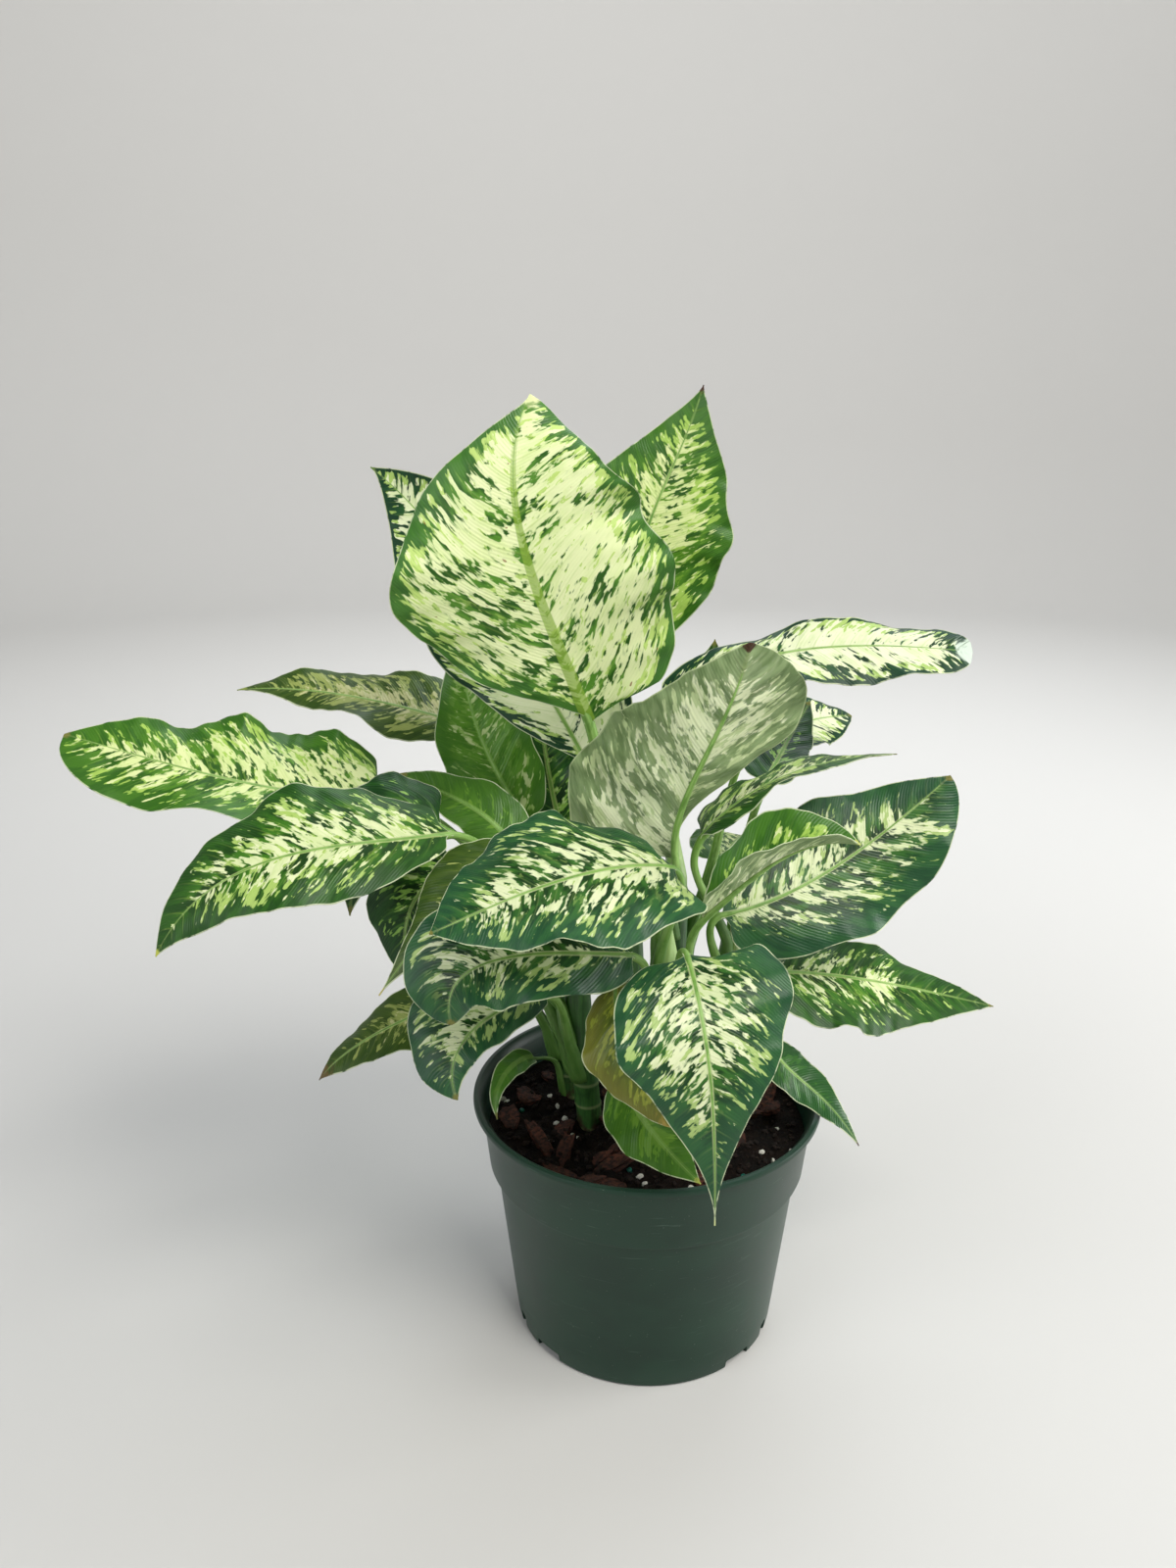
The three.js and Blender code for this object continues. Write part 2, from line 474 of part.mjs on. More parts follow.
// Bark chips lie half sunk in the soil, turned and tilted at random, clear of the canes.
function barkChips() {
  const { seededRandom } = THREE.MathUtils;
  seededRandom(11);
  const chips = [];
  while (chips.length < barkChipCount) {
    const angle = 2 * Math.PI * seededRandom();
    const radius = 68 * Math.sqrt(seededRandom());
    const [x, y] = [radius * Math.cos(angle), radius * Math.sin(angle)];
    const [length, width] = [9 + 11 * seededRandom(), 5 + 4 * seededRandom()];
    const tilts = [0.5 * seededRandom() - 0.25, 0.4 * seededRandom() - 0.2, 2 * Math.PI * seededRandom()];
    const roomy = Object.values(canes).every(({ foot }) => Math.hypot(x - foot[0], y - foot[1]) > 20);
    if (roomy && radius + length / 2 < 73) {
      const chip = new THREE.BoxGeometry(length, width, 5);
      chip.rotateX(tilts[0]).rotateY(tilts[1]).rotateZ(tilts[2]).translate(x, y, soilHeight(x, y) - 0.4);
      chips.push(chip);
    }
  }
  return chips;
}

// The plant as a scene graph, each piece a mesh of its own.
const plant = new THREE.Group();

function piece(name, geometry, color, roughness) {
  geometry.computeVertexNormals();
  const mesh = new THREE.Mesh(geometry, new THREE.MeshStandardMaterial({ color, roughness, metalness: 0 }));
  mesh.name = name;
  plant.add(mesh);
}

piece("pot", potGeometry(), 0x2f4538, 0.45);
piece("soil", soilGeometry(), 0x2b211b, 0.95);
for (const [name, cane] of Object.entries(canes)) {
  piece(name, caneGeometry(cane), 0x7f9a4a, 0.6);
}
for (const leaf of leaves) {
  piece(leaf.name, leafGeometry(leaf), 0x9cc45c, 0.45);
}

export default plant;
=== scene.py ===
"""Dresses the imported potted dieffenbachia: blades, stalks, canes, soil and pot, each with its finish.

Shapes are worked out in millimetres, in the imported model's frame, and end in metres.
"""

import logging
import math
import random
from collections.abc import Sequence
from dataclasses import dataclass, field, replace
from enum import Enum

import bmesh
import bpy
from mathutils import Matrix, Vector, noise


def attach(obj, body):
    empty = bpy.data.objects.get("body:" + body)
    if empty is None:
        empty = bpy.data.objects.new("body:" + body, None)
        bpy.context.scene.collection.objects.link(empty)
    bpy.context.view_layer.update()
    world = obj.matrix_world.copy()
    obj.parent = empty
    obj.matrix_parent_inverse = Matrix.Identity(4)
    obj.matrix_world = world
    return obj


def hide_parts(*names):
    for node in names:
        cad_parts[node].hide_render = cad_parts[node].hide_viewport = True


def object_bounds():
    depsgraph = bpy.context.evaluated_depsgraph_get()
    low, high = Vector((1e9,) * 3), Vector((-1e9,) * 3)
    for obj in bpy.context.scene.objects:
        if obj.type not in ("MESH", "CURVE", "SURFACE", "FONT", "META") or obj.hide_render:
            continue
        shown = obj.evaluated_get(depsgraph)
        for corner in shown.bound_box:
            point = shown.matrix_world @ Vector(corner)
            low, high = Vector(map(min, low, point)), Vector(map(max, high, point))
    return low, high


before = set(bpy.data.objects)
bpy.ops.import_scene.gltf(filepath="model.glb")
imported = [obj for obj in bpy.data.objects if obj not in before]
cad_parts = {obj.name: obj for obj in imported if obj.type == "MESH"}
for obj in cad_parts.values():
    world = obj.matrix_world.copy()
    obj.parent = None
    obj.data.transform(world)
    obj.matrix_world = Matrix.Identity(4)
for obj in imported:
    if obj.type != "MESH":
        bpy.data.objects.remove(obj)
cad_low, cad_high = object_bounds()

MM = 0.001
UP = Vector((0, 0, 1))
Pair = tuple[float, float]
Triple = tuple[float, float, float]
Marks = dict[str, bpy.types.NodeSocket]
Ring = tuple[Vector, Vector, float, float]

log = logging.getLogger("dieffenbachia")


def linear(code: str) -> tuple[float, float, float, float]:
    """Turns a screen colour into the linear colour that shaders take.

    Args:
        code: Red, green and blue as six hexadecimal digits.

    Returns:
        The colour's linear red, green and blue, and an alpha of 1.
    """
    shares = [int(code[i : i + 2], 16) / 255 for i in (0, 2, 4)]
    parts = [s / 12.92 if s <= 0.04045 else ((s + 0.055) / 1.055) ** 2.4 for s in shares]
    return (*parts, 1.0)


def blend(a: float, b: float, share: float) -> float:
    """Goes from a to b as share goes from 0 to 1."""
    return a + (b - a) * share


def smooth(low: float, high: float, value: float) -> float:
    """Rises smoothly from 0 at low to 1 at high."""
    share = min(1.0, max(0.0, (value - low) / (high - low)))
    return share * share * (3 - 2 * share)


def within_box(point: Vector) -> Vector:
    """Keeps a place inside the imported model's box, by a hair.

    Args:
        point: The place, in millimetres.

    Returns:
        The nearest place inside.
    """
    hair = 0.02
    sides = zip(point, cad_low, cad_high)
    return Vector([min(high / MM - hair, max(low / MM + hair, part)) for part, low, high in sides])


class Paint:
    """One material's node tree, built a node at a time."""

    def __init__(self, name: str) -> None:
        """Starts an empty tree.

        Args:
            name: The material's name.
        """
        self.material = bpy.data.materials.new(name)
        self.material.use_nodes = True
        self.tree = self.material.node_tree
        self.tree.nodes.clear()

    def node(self, kind: str, inputs: dict | None = None, **settings: object) -> bpy.types.Node:
        """Adds a node.

        Args:
            kind: The node's type, without its ShaderNode prefix.
            inputs: A value or a socket for each input, by its name or number.
            **settings: The node's own properties.

        Returns:
            The new node.
        """
        made = self.tree.nodes.new("ShaderNode" + kind)
        for key, value in settings.items():
            setattr(made, key, value)
        for key, value in (inputs or {}).items():
            if isinstance(value, bpy.types.NodeSocket):
                self.tree.links.new(value, made.inputs[key])
            else:
                made.inputs[key].default_value = value
        return made

    def calc(self, operation: str, a: object, b: object = 0.0) -> bpy.types.NodeSocket:
        """Does one operation of arithmetic, such as SUBTRACT, on two values."""
        return self.node("Math", {0: a, 1: b}, operation=operation).outputs[0]

    def times(self, a: object, b: object) -> bpy.types.NodeSocket:
        """Multiplies two values."""
        return self.calc("MULTIPLY", a, b)

    def plus(self, a: object, b: object) -> bpy.types.NodeSocket:
        """Adds two values."""
        return self.calc("ADD", a, b)

    def rise(self, value: object, low: float, high: float) -> bpy.types.NodeSocket:
        """Rises smoothly from 0 to 1, or falls where low is above high.

        Args:
            value: What is read.
            low: Where the result is 0.
            high: Where it is 1.

        Returns:
            The share, from 0 to 1.
        """
        ends = (0.0, 1.0) if low < high else (1.0, 0.0)
        inputs = {"Value": value, "From Min": min(low, high), "From Max": max(low, high)}
        inputs |= {"To Min": ends[0], "To Max": ends[1]}
        return self.node("MapRange", inputs, interpolation_type="SMOOTHSTEP").outputs["Result"]

    def mix(self, share: object, a: object, b: object, way: str = "MIX") -> bpy.types.NodeSocket:
        """Mixes colour b over colour a.

        Args:
            share: How much of b shows.
            a: The colour under it.
            b: The colour on top.
            way: The blend type.

        Returns:
            The mixed colour.
        """
        return self.node("Mix", {0: share, 6: a, 7: b}, data_type="RGBA", blend_type=way).outputs[2]

    def parts(self, vector: object) -> tuple[bpy.types.NodeSocket, ...]:
        """Takes a vector apart into its three numbers."""
        return tuple(self.node("SeparateXYZ", {0: vector}).outputs)

    def attribute(self, name: str) -> bpy.types.NodeSocket:
        """Reads a mesh attribute as a vector."""
        return self.node("Attribute", attribute_name=name, attribute_type="GEOMETRY").outputs["Vector"]

    def object_place(self) -> bpy.types.NodeSocket:
        """Reads the place on the object, in metres."""
        return self.node("TexCoord").outputs["Object"]

    def grain(
        self, vector: object, size: Triple, shift: float = 0.0, detail: float = 2.0, rough: float = 0.5,
        distortion: float = 0.0,
    ) -> bpy.types.NodeSocket:
        """A noise with spots of a given size.

        Args:
            vector: The place it reads.
            size: The spots' size along each axis of that place, or 0 where it doesn't vary.
            shift: Moves it to another stretch of noise.
            detail: How many finer layers it has.
            rough: How strong the finer layers are.
            distortion: How far the spots are twisted.

        Returns:
            The noise, around 0.5.
        """
        scale = tuple(1 / s if s else 0.0 for s in size)
        start = (shift, shift * 0.7, shift * 1.3)
        place = self.node("Mapping", {"Vector": vector, "Location": start, "Scale": scale})
        inputs = {"Vector": place.outputs[0], "Scale": 1.0, "Detail": detail, "Roughness": rough}
        inputs["Distortion"] = distortion
        return self.node("TexNoise", inputs).outputs[0]

    def bump(self, height: object, strength: float, distance: float) -> bpy.types.NodeSocket:
        """Turns a height into a bumped normal."""
        inputs = {"Height": height, "Strength": strength, "Distance": distance}
        return self.node("Bump", inputs).outputs["Normal"]

    def finish(self, shader: object) -> bpy.types.Material:
        """Sends a shader to the output and gives the material."""
        self.node("OutputMaterial", {"Surface": shader})
        return self.material


@dataclass(frozen=True)
class Cubic:
    """A cubic Bezier curve in space, in millimetres."""

    a: Vector
    b: Vector
    c: Vector
    d: Vector

    @classmethod
    def through(cls, points: Sequence[Triple]) -> "Cubic":
        """Makes the curve that passes four points at even steps.

        Args:
            points: The four points.

        Returns:
            The curve.
        """
        a, b, c, d = (Vector(p) for p in points)
        return cls(a, (b * 18 - a * 5 - c * 9 + d * 2) / 6, (a * 2 - b * 9 + c * 18 - d * 5) / 6, d)

    def point(self, t: float) -> Vector:
        """Finds a place on the curve.

        Args:
            t: How far along it, from 0 to 1.

        Returns:
            The place.
        """
        r = 1 - t
        near = self.a * (r * r * r) + self.b * (3 * r * r * t)
        return near + self.c * (3 * r * t * t) + self.d * (t * t * t)

    def tangent(self, t: float) -> Vector:
        """Finds the curve's direction.

        Args:
            t: How far along it, from 0 to 1.

        Returns:
            The direction, of length 1.
        """
        r = 1 - t
        way = (self.b - self.a) * (r * r) + (self.c - self.b) * (2 * r * t) + (self.d - self.c) * (t * t)
        return way.normalized()


@dataclass(frozen=True)
class CaneAxis:
    """The line that a cane stands on, from the soil's surface to its tip."""

    foot: Pair
    tip: Triple
    soil_level: float = 102

    def at(self, height: float) -> Vector:
        """The axis's place at a height."""
        foot, tip = Vector((*self.foot, self.soil_level)), Vector(self.tip)
        return foot.lerp(tip, (height - self.soil_level) / (tip.z - self.soil_level))

    def radius(self, height: float) -> float:
        """The cane's radius at a height, without its scars."""
        return min(6.0, 1 + (self.tip[2] - height) * 0.2)


CANES = {
    "cane_left": CaneAxis((-27, -4), (-36, -10, 214)),
    "cane_side": CaneAxis((-38, 24), (-50, 22, 212)),
    "cane_centre": CaneAxis((-3, 12), (-13, 8, 252)),
    "cane_front": CaneAxis((9, -28), (8, -42, 224)),
    "cane_right": CaneAxis((35, -2), (40, -6, 212)),
    "cane_back": CaneAxis((14, 40), (12, 38, 236)),
}


class Mottle(Enum):
    """How a blade is marked."""

    FRESH = "a young leaf, cream and yellow-green, with a broad green midrib"
    MARBLED = "cream and light green, flecked with dark green, in a dark margin"
    CREAM = "mostly cream with small dark spots"
    LIME = "yellow-green with dark streaks"
    DEEP = "mostly dark green with small light flecks"
    PATCHY = "mid green with pale patches"
    # Marbled blades whose dark green margin is painted blue-green for a bluish sheen.
    BLUISH = "marbled, with a blue-green margin"
    OLIVE = "dull olive green with pale streaks"
    PLAIN = "plain green with pale veins"
    SHADED = "dark glossy green with a thin pale midrib"
    YELLOWING = "an old leaf, olive to brown-yellow"


@dataclass(frozen=True)
class Variegation:
    """A blade's colours and how much of each shows."""

    cream: str = "EAF0C0"
    light: str = "A6C858"
    green: str = "427A1C"
    dark: str = "1A3F0A"
    edge: str = "27541A"
    rib: str = "B4C87C"
    dark_from: float = 0.525
    light_from: float = 0.56
    margin: float = 9.0
    pull: float = 0.07
    sheen: float = 0.32
    vein_tint: float = 0.2
    flecks: float = 0.32
    rust: float = 0.0
    rust_tint: str = "8A5C2C"
    # The colour of a thin line painted along the margin for light shining through the edge.
    outline: str = "E0E8C0"


FINISHES = {
    Mottle.FRESH: Variegation(
        cream="EEF5C0", light="BFDD70", green="568C2C", dark="2C5A18", edge="467A30", rib="8FB440",
        dark_from=0.565, light_from=0.58, margin=6.5, rust=0.75,
    ),
    Mottle.MARBLED: Variegation(),
    Mottle.CREAM: Variegation(
        cream="F0F4D0", dark_from=0.6, light_from=0.62, margin=4.5, green="285A28", dark="12381A",
        edge="1A422C",
    ),
    Mottle.LIME: Variegation(cream="E6EEAE", light="A2CA4C", green="588C24", dark="2A5810", edge="3C701E"),
    Mottle.DEEP: Variegation(
        cream="CBDE98", light="84B644", green="30641A", dark="0E300A", edge="184616", dark_from=0.475,
        light_from=0.48, margin=12,
    ),
    Mottle.PATCHY: Variegation(
        cream="C6D498", light="8CB256", green="5C9028", dark="487C1C", edge="3E701E", rib="7CAA46",
        dark_from=0.45, light_from=0.5, margin=4,
    ),
    # The blue-green edge colour is a painted sheen on a dark green margin.
    Mottle.BLUISH: Variegation(
        cream="E8EEC4", light="A6C46A", green="3A6E28", dark="153A14", edge="2A5A3A", rib="BCCC90",
        vein_tint=0.12,
    ),
    Mottle.OLIVE: Variegation(
        cream="D2D09A", light="96A650", green="5C742A", dark="344E18", edge="38541A", light_from=0.5
    ),
    Mottle.PLAIN: Variegation(
        cream="729E34", light="66942E", green="588A26", dark="42721C", edge="42701E", rib="8CB058",
        dark_from=0.5, light_from=0.5, margin=6, vein_tint=0.35,
    ),
    Mottle.SHADED: Variegation(
        cream="457838", light="3E702F", green="376A2A", dark="2C5A24", edge="2E5C30", rib="A0BA84",
        dark_from=0.5, light_from=0.5, margin=5, sheen=0.26, vein_tint=0.15,
    ),
    Mottle.YELLOWING: Variegation(
        cream="AEB044", light="929C36", green="687C26", dark="4E661C", edge="7E7A2C", rib="A6AC54",
        dark_from=0.53, light_from=0.5, margin=6,
    ),
}


@dataclass(frozen=True)
class LeafSpec:
    """One leaf's sizes, in millimetres and degrees.

    A pair is for the left and the right half of the blade, seen from above with its tip away.
    """

    name: str
    cane: str
    root: float
    half: Pair
    spine: tuple[Triple, Triple, Triple, Triple]
    up: tuple[Triple, Triple]
    shape: tuple[Pair, Pair] = ((0.6, 1.05), (0.6, 1.05))
    fold: Pair = (8, 8)
    curl: Pair = (-14, -14)
    wave: Pair = (2, 2)
    waves: Pair = (2, 2)
    phase: Pair = (0, 0.4)
    lobe: Pair = (0.1, 0.1)
    turn: float = 0
    lean: float = 24
    stalk: float = 1
    crumple: float = 0.6
    mottle: Mottle = Mottle.MARBLED
    darker: float = 0
    creamier: float = 0
    rib: float = 1.2
    tip: str = "7A7A3C"
    tip_length: float = 3


def both(rise: float, fall: float) -> tuple[Pair, Pair]:
    """Gives both halves of a blade the same outline."""
    return ((rise, fall), (rise, fall))


LEAVES = (
    LeafSpec(
        "top_front", "cane_centre", 214, (54, 52),
        ((-26, -26, 304), (-42, -42, 351), (-53, -48, 395), (-48, -34, 434)), ((0.1, -1, 0.1), (0, -1, 0.3)),
        shape=((1.5, 1.75), (0.35, 0.58)), curl=(-22, -18), wave=(5, 5), waves=(2.4, 2.4), lobe=(0, 0.08),
        stalk=1.4, mottle=Mottle.FRESH, rib=2.7, tip="E4EAB0", tip_length=7,
    ),
    LeafSpec(
        "top_left", "cane_centre", 198, (33, 40),
        ((-27, 0, 276), (-52, 6, 319), (-86, 10, 368), (-119, 4, 405)), ((-0.2, -1, 0.2), (-0.2, -1, 0.4)),
        shape=((1.5, 1.5), (0.6, 1.05)), curl=(-10, 6), wave=(3, 3), lobe=(0, 0.1), mottle=Mottle.CREAM,
        tip="6F8A4A",
    ),
    LeafSpec(
        "top_right", "cane_back", 214, (31, 38),
        ((-12, 22, 323), (-6, 34, 369), (7, 42, 403), (20, 44, 438)), ((0, -1, 0.4), (-0.2, -0.9, 0.5)),
        shape=both(0.75, 1.2), curl=(-10, -10), mottle=Mottle.LIME, creamier=0.01, tip="4A2E1E", tip_length=4,
    ),
    LeafSpec(
        "left_high", "cane_side", 196, (19, 27),
        ((-74, 38, 281), (-117, 47, 291), (-161, 54, 297), (-202, 56, 297)),
        ((0, -0.35, 0.93), (0, -0.4, 0.9)),
        shape=((0.6, 1.3), (0.6, 1.05)), curl=(-20, -20), wave=(4, 4), waves=(2.4, 2.4), turn=-30,
        mottle=Mottle.OLIVE, creamier=0.03, tip="8A9A4A", tip_length=8,
    ),
    LeafSpec(
        "left_far", "cane_side", 182, (26, 38),
        ((-120, 8, 258), (-166, -2, 265), (-210, -8, 277), (-259, -8, 291)),
        ((0, -0.5, 0.85), (0, -0.5, 0.85)),
        shape=((0.7, 0.42), (0.35, 0.75)), wave=(6, 6), waves=(1.25, 2.9), phase=(0.66, 0.75),
        mottle=Mottle.LIME, creamier=0.02,
    ),
    LeafSpec(
        "left_near", "cane_left", 166, (26, 35),
        ((-83, -36, 258), (-124, -56, 259), (-165, -70, 251), (-199, -76, 217)),
        ((-0.1, -0.5, 0.85), (-0.3, -0.6, 0.6)),
        shape=((0.8, 1), (0.6, 0.95)), curl=(-26, -20), wave=(3, 3), lobe=(0.1, 0.13), lean=38, tip="C9CE5A",
    ),
    LeafSpec(
        "left_mid", "cane_side", 168, (20, 28),
        ((-91, -19, 255), (-107, -26, 259), (-120, -34, 250), (-128, -40, 221)),
        ((0, -0.6, 0.8), (-0.4, -0.7, 0.6)),
        shape=both(0.5, 1), curl=(-20, -20), lean=8, mottle=Mottle.DEEP,
    ),
    LeafSpec(
        "centre_left", "cane_left", 190, (12, 15),
        ((-57, -17, 239), (-70, -9, 254), (-89, 1, 262), (-114, 9, 270)), ((0, -0.8, 0.6), (0, -0.7, 0.7)),
        shape=both(0.5, 0.8), turn=-25, mottle=Mottle.PLAIN, darker=0.04,
    ),
    LeafSpec(
        "low_left_a", "cane_left", 148, (16, 34),
        ((-84, -12, 233), (-98, -22, 228), (-106, -30, 212), (-103, -34, 186)),
        ((-0.3, -0.6, 0.7), (-0.5, -0.7, 0.4)),
        shape=both(0.5, 1.1), wave=(1.5, 1.5), lobe=(0, 0), mottle=Mottle.DEEP, darker=-0.02,
    ),
    LeafSpec(
        "left_olive", "cane_left", 196, (20, 18),
        ((-58, -38, 250), (-73, -52, 243), (-90, -64, 226), (-110, -70, 199)),
        ((-0.2, -0.8, 0.6), (-0.5, -0.8, 0.4)),
        shape=both(0.6, 1.5), mottle=Mottle.OLIVE, darker=0.06, tip="C2B766",
    ),
    LeafSpec(
        "front_centre", "cane_front", 196, (34, 37),
        ((10, -58, 253), (-23, -84, 260), (-54, -102, 255), (-80, -112, 246)),
        ((0, -0.5, 0.86), (-0.1, -0.5, 0.86)),
        shape=((0.45, 1), (0.6, 0.95)), curl=(-22, -26), wave=(4, 4), waves=(2.2, 2.2), lobe=(0.32, 0.15),
        turn=-30, mottle=Mottle.BLUISH, darker=0.015,
    ),
    LeafSpec(
        "front_under", "cane_front", 170, (20, 34),
        ((-6, -62, 216), (-35, -79, 224), (-66, -91, 223), (-76, -95, 200)),
        ((-0.1, -0.7, 0.7), (-0.3, -0.7, 0.6)),
        shape=((0.55, 0.6), (0.9, 0.65)), curl=(-12, -18), wave=(5, 3), waves=(2.2, 2.2),
        phase=(0.41, 0.4), turn=-12, mottle=Mottle.BLUISH,
    ),
    LeafSpec(
        "low_left", "cane_left", 146, (12, 31),
        ((-44, -30, 181), (-63, -50, 183), (-78, -66, 174), (-78, -76, 155)),
        ((0, -0.6, 0.8), (-0.3, -0.9, 0.2)),
        shape=both(0.65, 0.85), curl=(-20, -20), wave=(1.5, 1.5), mottle=Mottle.BLUISH,
    ),
    LeafSpec(
        "low_left_back", "cane_side", 140, (18, 18),
        ((-72, 4, 166), (-103, -4, 158), (-133, -10, 144), (-155, -12, 124)),
        ((0, -0.4, 0.9), (-0.5, -0.4, 0.7)),
        curl=(-20, -20), mottle=Mottle.OLIVE, darker=0.01, tip="6B5A30", tip_length=14,
    ),
    LeafSpec(
        "small_pot", "cane_side", 118, (6, 6),
        ((-54, 2, 131), (-61, -10, 135), (-68, -20, 129), (-68, -30, 117)),
        ((0, -0.7, 0.7), (-0.3, -0.8, 0.3)),
        curl=(10, 10), wave=(0.5, 0.5), stalk=0.5, mottle=Mottle.PLAIN, darker=0.06,
    ),
    LeafSpec(
        "front_low", "cane_front", 160, (37, 35),
        ((15, -72, 222), (22, -102, 201), (26, -108, 166), (28, -104, 119)), ((0.1, -0.6, 0.8), (0, -1, 0)),
        shape=((0.5, 1.9), (0.75, 1.9)), curl=(-22, -18), wave=(3, 3), waves=(2.2, 2.2), lobe=(0.3, 0.1),
        mottle=Mottle.BLUISH, tip="D6DC9C", tip_length=4,
    ),
    LeafSpec(
        "yellowing", "cane_front", 144, (18, 18),
        ((-13, -63, 204), (-10, -85, 191), (0, -92, 172), (16, -92, 154)),
        ((-0.4, -0.8, 0.5), (-0.3, -0.9, 0)),
        curl=(-16, -16), mottle=Mottle.YELLOWING, tip="B49A46", tip_length=13,
    ),
    LeafSpec(
        "low_small", "cane_front", 124, (15, 15),
        ((-11, -52, 153), (-3, -72, 149), (8, -81, 139), (23, -84, 124)),
        ((-0.2, -0.6, 0.8), (-0.2, -0.8, 0.6)),
        curl=(-10, -10), wave=(1.2, 1.2), stalk=0.7, mottle=Mottle.PLAIN, darker=-0.02, tip="A8B050",
    ),
    LeafSpec(
        "low_right", "cane_right", 126, (10, 10),
        ((56, -16, 153), (66, -18, 139), (81, -20, 126), (99, -18, 101)),
        ((0.3, -0.7, 0.6), (0.4, -0.8, 0.5)),
        wave=(1.2, 1.2), stalk=0.7, mottle=Mottle.SHADED, rib=0.8, tip="4A3420", tip_length=3,
    ),
    LeafSpec(
        "right_low", "cane_right", 142, (22, 30),
        ((52, -4, 182), (86, 8, 175), (122, 16, 166), (165, 20, 155)), ((0, -0.5, 0.85), (0.1, -0.5, 0.85)),
        curl=(-18, -18), wave=(3, 3), waves=(2.4, 2.4), darker=0.045,
    ),
    LeafSpec(
        "right_big", "cane_right", 178, (33, 33),
        ((31, -24, 218), (66, -8, 225), (101, 6, 244), (134, 16, 271)), ((0.1, -0.8, 0.55), (0.1, -0.8, 0.6)),
        shape=((0.6, 0.95), (0.6, 0.58)), curl=(-22, -26), wave=(4, 4), waves=(2.2, 2.2), lobe=(0.15, 0.15),
        mottle=Mottle.BLUISH, darker=0.025,
    ),
    LeafSpec(
        "right_curl", "cane_front", 186, (18, 22),
        ((22, -58, 232), (40, -60, 250), (60, -58, 262), (84, -52, 262)), ((-0.4, -0.2, 0.9), (0.1, -0.2, 1)),
        shape=((1.1, 1), (0.6, 1.05)), fold=(62, 54), curl=(-10, -10), wave=(1.5, 1.5), mottle=Mottle.LIME,
        tip="C9CE6A",
    ),
    LeafSpec(
        "right_high", "cane_back", 200, (17, 20),
        ((1, 10, 305), (47, 14, 324), (93, 18, 329), (139, 18, 327)), ((0, -0.55, 0.83), (0, -0.55, 0.83)),
        shape=both(0.5, 0.34), curl=(-20, -24), wave=(3, 3), waves=(2.2, 2.2), lobe=(0.15, 0.15),
        # The tip colour here is a painted bluish-white sheen.
        mottle=Mottle.CREAM, tip="DCEBDC", tip_length=9,
    ),
    LeafSpec(
        "front_underside", "cane_front", 204, (34, 48),
        ((11, -36, 248), (14, -44, 277), (26, -56, 310), (36, -66, 346)),
        ((0.25, 0.92, 0.3), (0.1, 0.92, 0.3)),
        shape=((3, 0.9), (0.3, 0.85)), fold=(36, 8), lobe=(0, 0.12), turn=70, lean=12, crumple=4.5,
        darker=0.01, tip="4A3420", tip_length=4,
    ),
    LeafSpec(
        "right_dark", "cane_right", 192, (18, 13),
        ((52, 20, 265), (59, 36, 272), (67, 54, 280), (77, 72, 291)), ((0, -0.5, 0.85), (0, -0.5, 0.85)),
        shape=both(0.6, 0.9), wave=(1.5, 1.5), turn=30, mottle=Mottle.DEEP,
    ),
    LeafSpec(
        "right_back", "cane_back", 186, (21, 19),
        ((49, 54, 275), (65, 76, 276), (84, 96, 276), (104, 112, 274)), ((0, -0.6, 0.8), (0, -0.6, 0.8)),
        shape=both(0.6, 0.8), mottle=Mottle.CREAM,
    ),
    LeafSpec(
        "right_edge_on", "cane_right", 200, (26, 10),
        ((21, -22, 253), (47, -16, 274), (76, -10, 284), (105, -6, 287)), ((-0.3, 0, 1), (0, 0.1, 1)),
        shape=both(0.4, 1.05), fold=(4, 4),
    ),
    LeafSpec(
        "centre_plain", "cane_left", 204, (22, 22),
        ((-56, 16, 243), (-73, 22, 271), (-84, 30, 297), (-90, 38, 328)), ((0.1, -0.9, 0.3), (0, -0.9, 0.4)),
        mottle=Mottle.PATCHY,
    ),
    LeafSpec(
        "centre_dark", "cane_centre", 178, (14, 26),
        ((-41, 28, 234), (-46, 30, 254), (-50, 34, 276), (-52, 36, 300)), ((0, -0.9, 0.2), (0, -0.9, 0.3)),
        lobe=(0, 0), turn=20, mottle=Mottle.DEEP,
    ),
    LeafSpec(
        "back_tip", "cane_back", 172, (22, 22),
        ((12, 46, 258), (19, 62, 276), (26, 72, 295), (30, 78, 320)), ((0, -0.7, 0.7), (0, -0.8, 0.6)),
    ),
    LeafSpec(
        "rear_left", "cane_side", 154, (28, 28),
        ((-62, 62, 216), (-78, 88, 228), (-88, 112, 228), (-94, 132, 212)),
        ((-0.2, 0.4, 0.9), (-0.3, 0.6, 0.6)),
        curl=(-18, -18), wave=(3, 3), waves=(2.2, 2.2),
    ),
    LeafSpec(
        "rear_centre", "cane_centre", 168, (30, 30),
        ((-16, 70, 224), (-22, 98, 236), (-28, 122, 230), (-32, 142, 208)), ((0, 0.4, 0.9), (-0.1, 0.6, 0.6)),
        curl=(-18, -18), wave=(3, 3), waves=(2.2, 2.2),
    ),
    LeafSpec(
        "rear_right", "cane_back", 156, (28, 28),
        ((38, 84, 200), (48, 110, 206), (56, 132, 196), (62, 148, 174)), ((0.1, 0.4, 0.9), (0.2, 0.6, 0.6)),
        curl=(-18, -18), wave=(3, 3), waves=(2.2, 2.2), mottle=Mottle.LIME,
    ),
    LeafSpec(
        "rear_low", "cane_back", 138, (20, 20),
        ((4, 72, 170), (2, 92, 170), (0, 110, 160), (-2, 124, 142)), ((0, 0.4, 0.9), (0, 0.7, 0.5)),
        curl=(-18, -18), waves=(2.2, 2.2), mottle=Mottle.BLUISH,
    ),
)


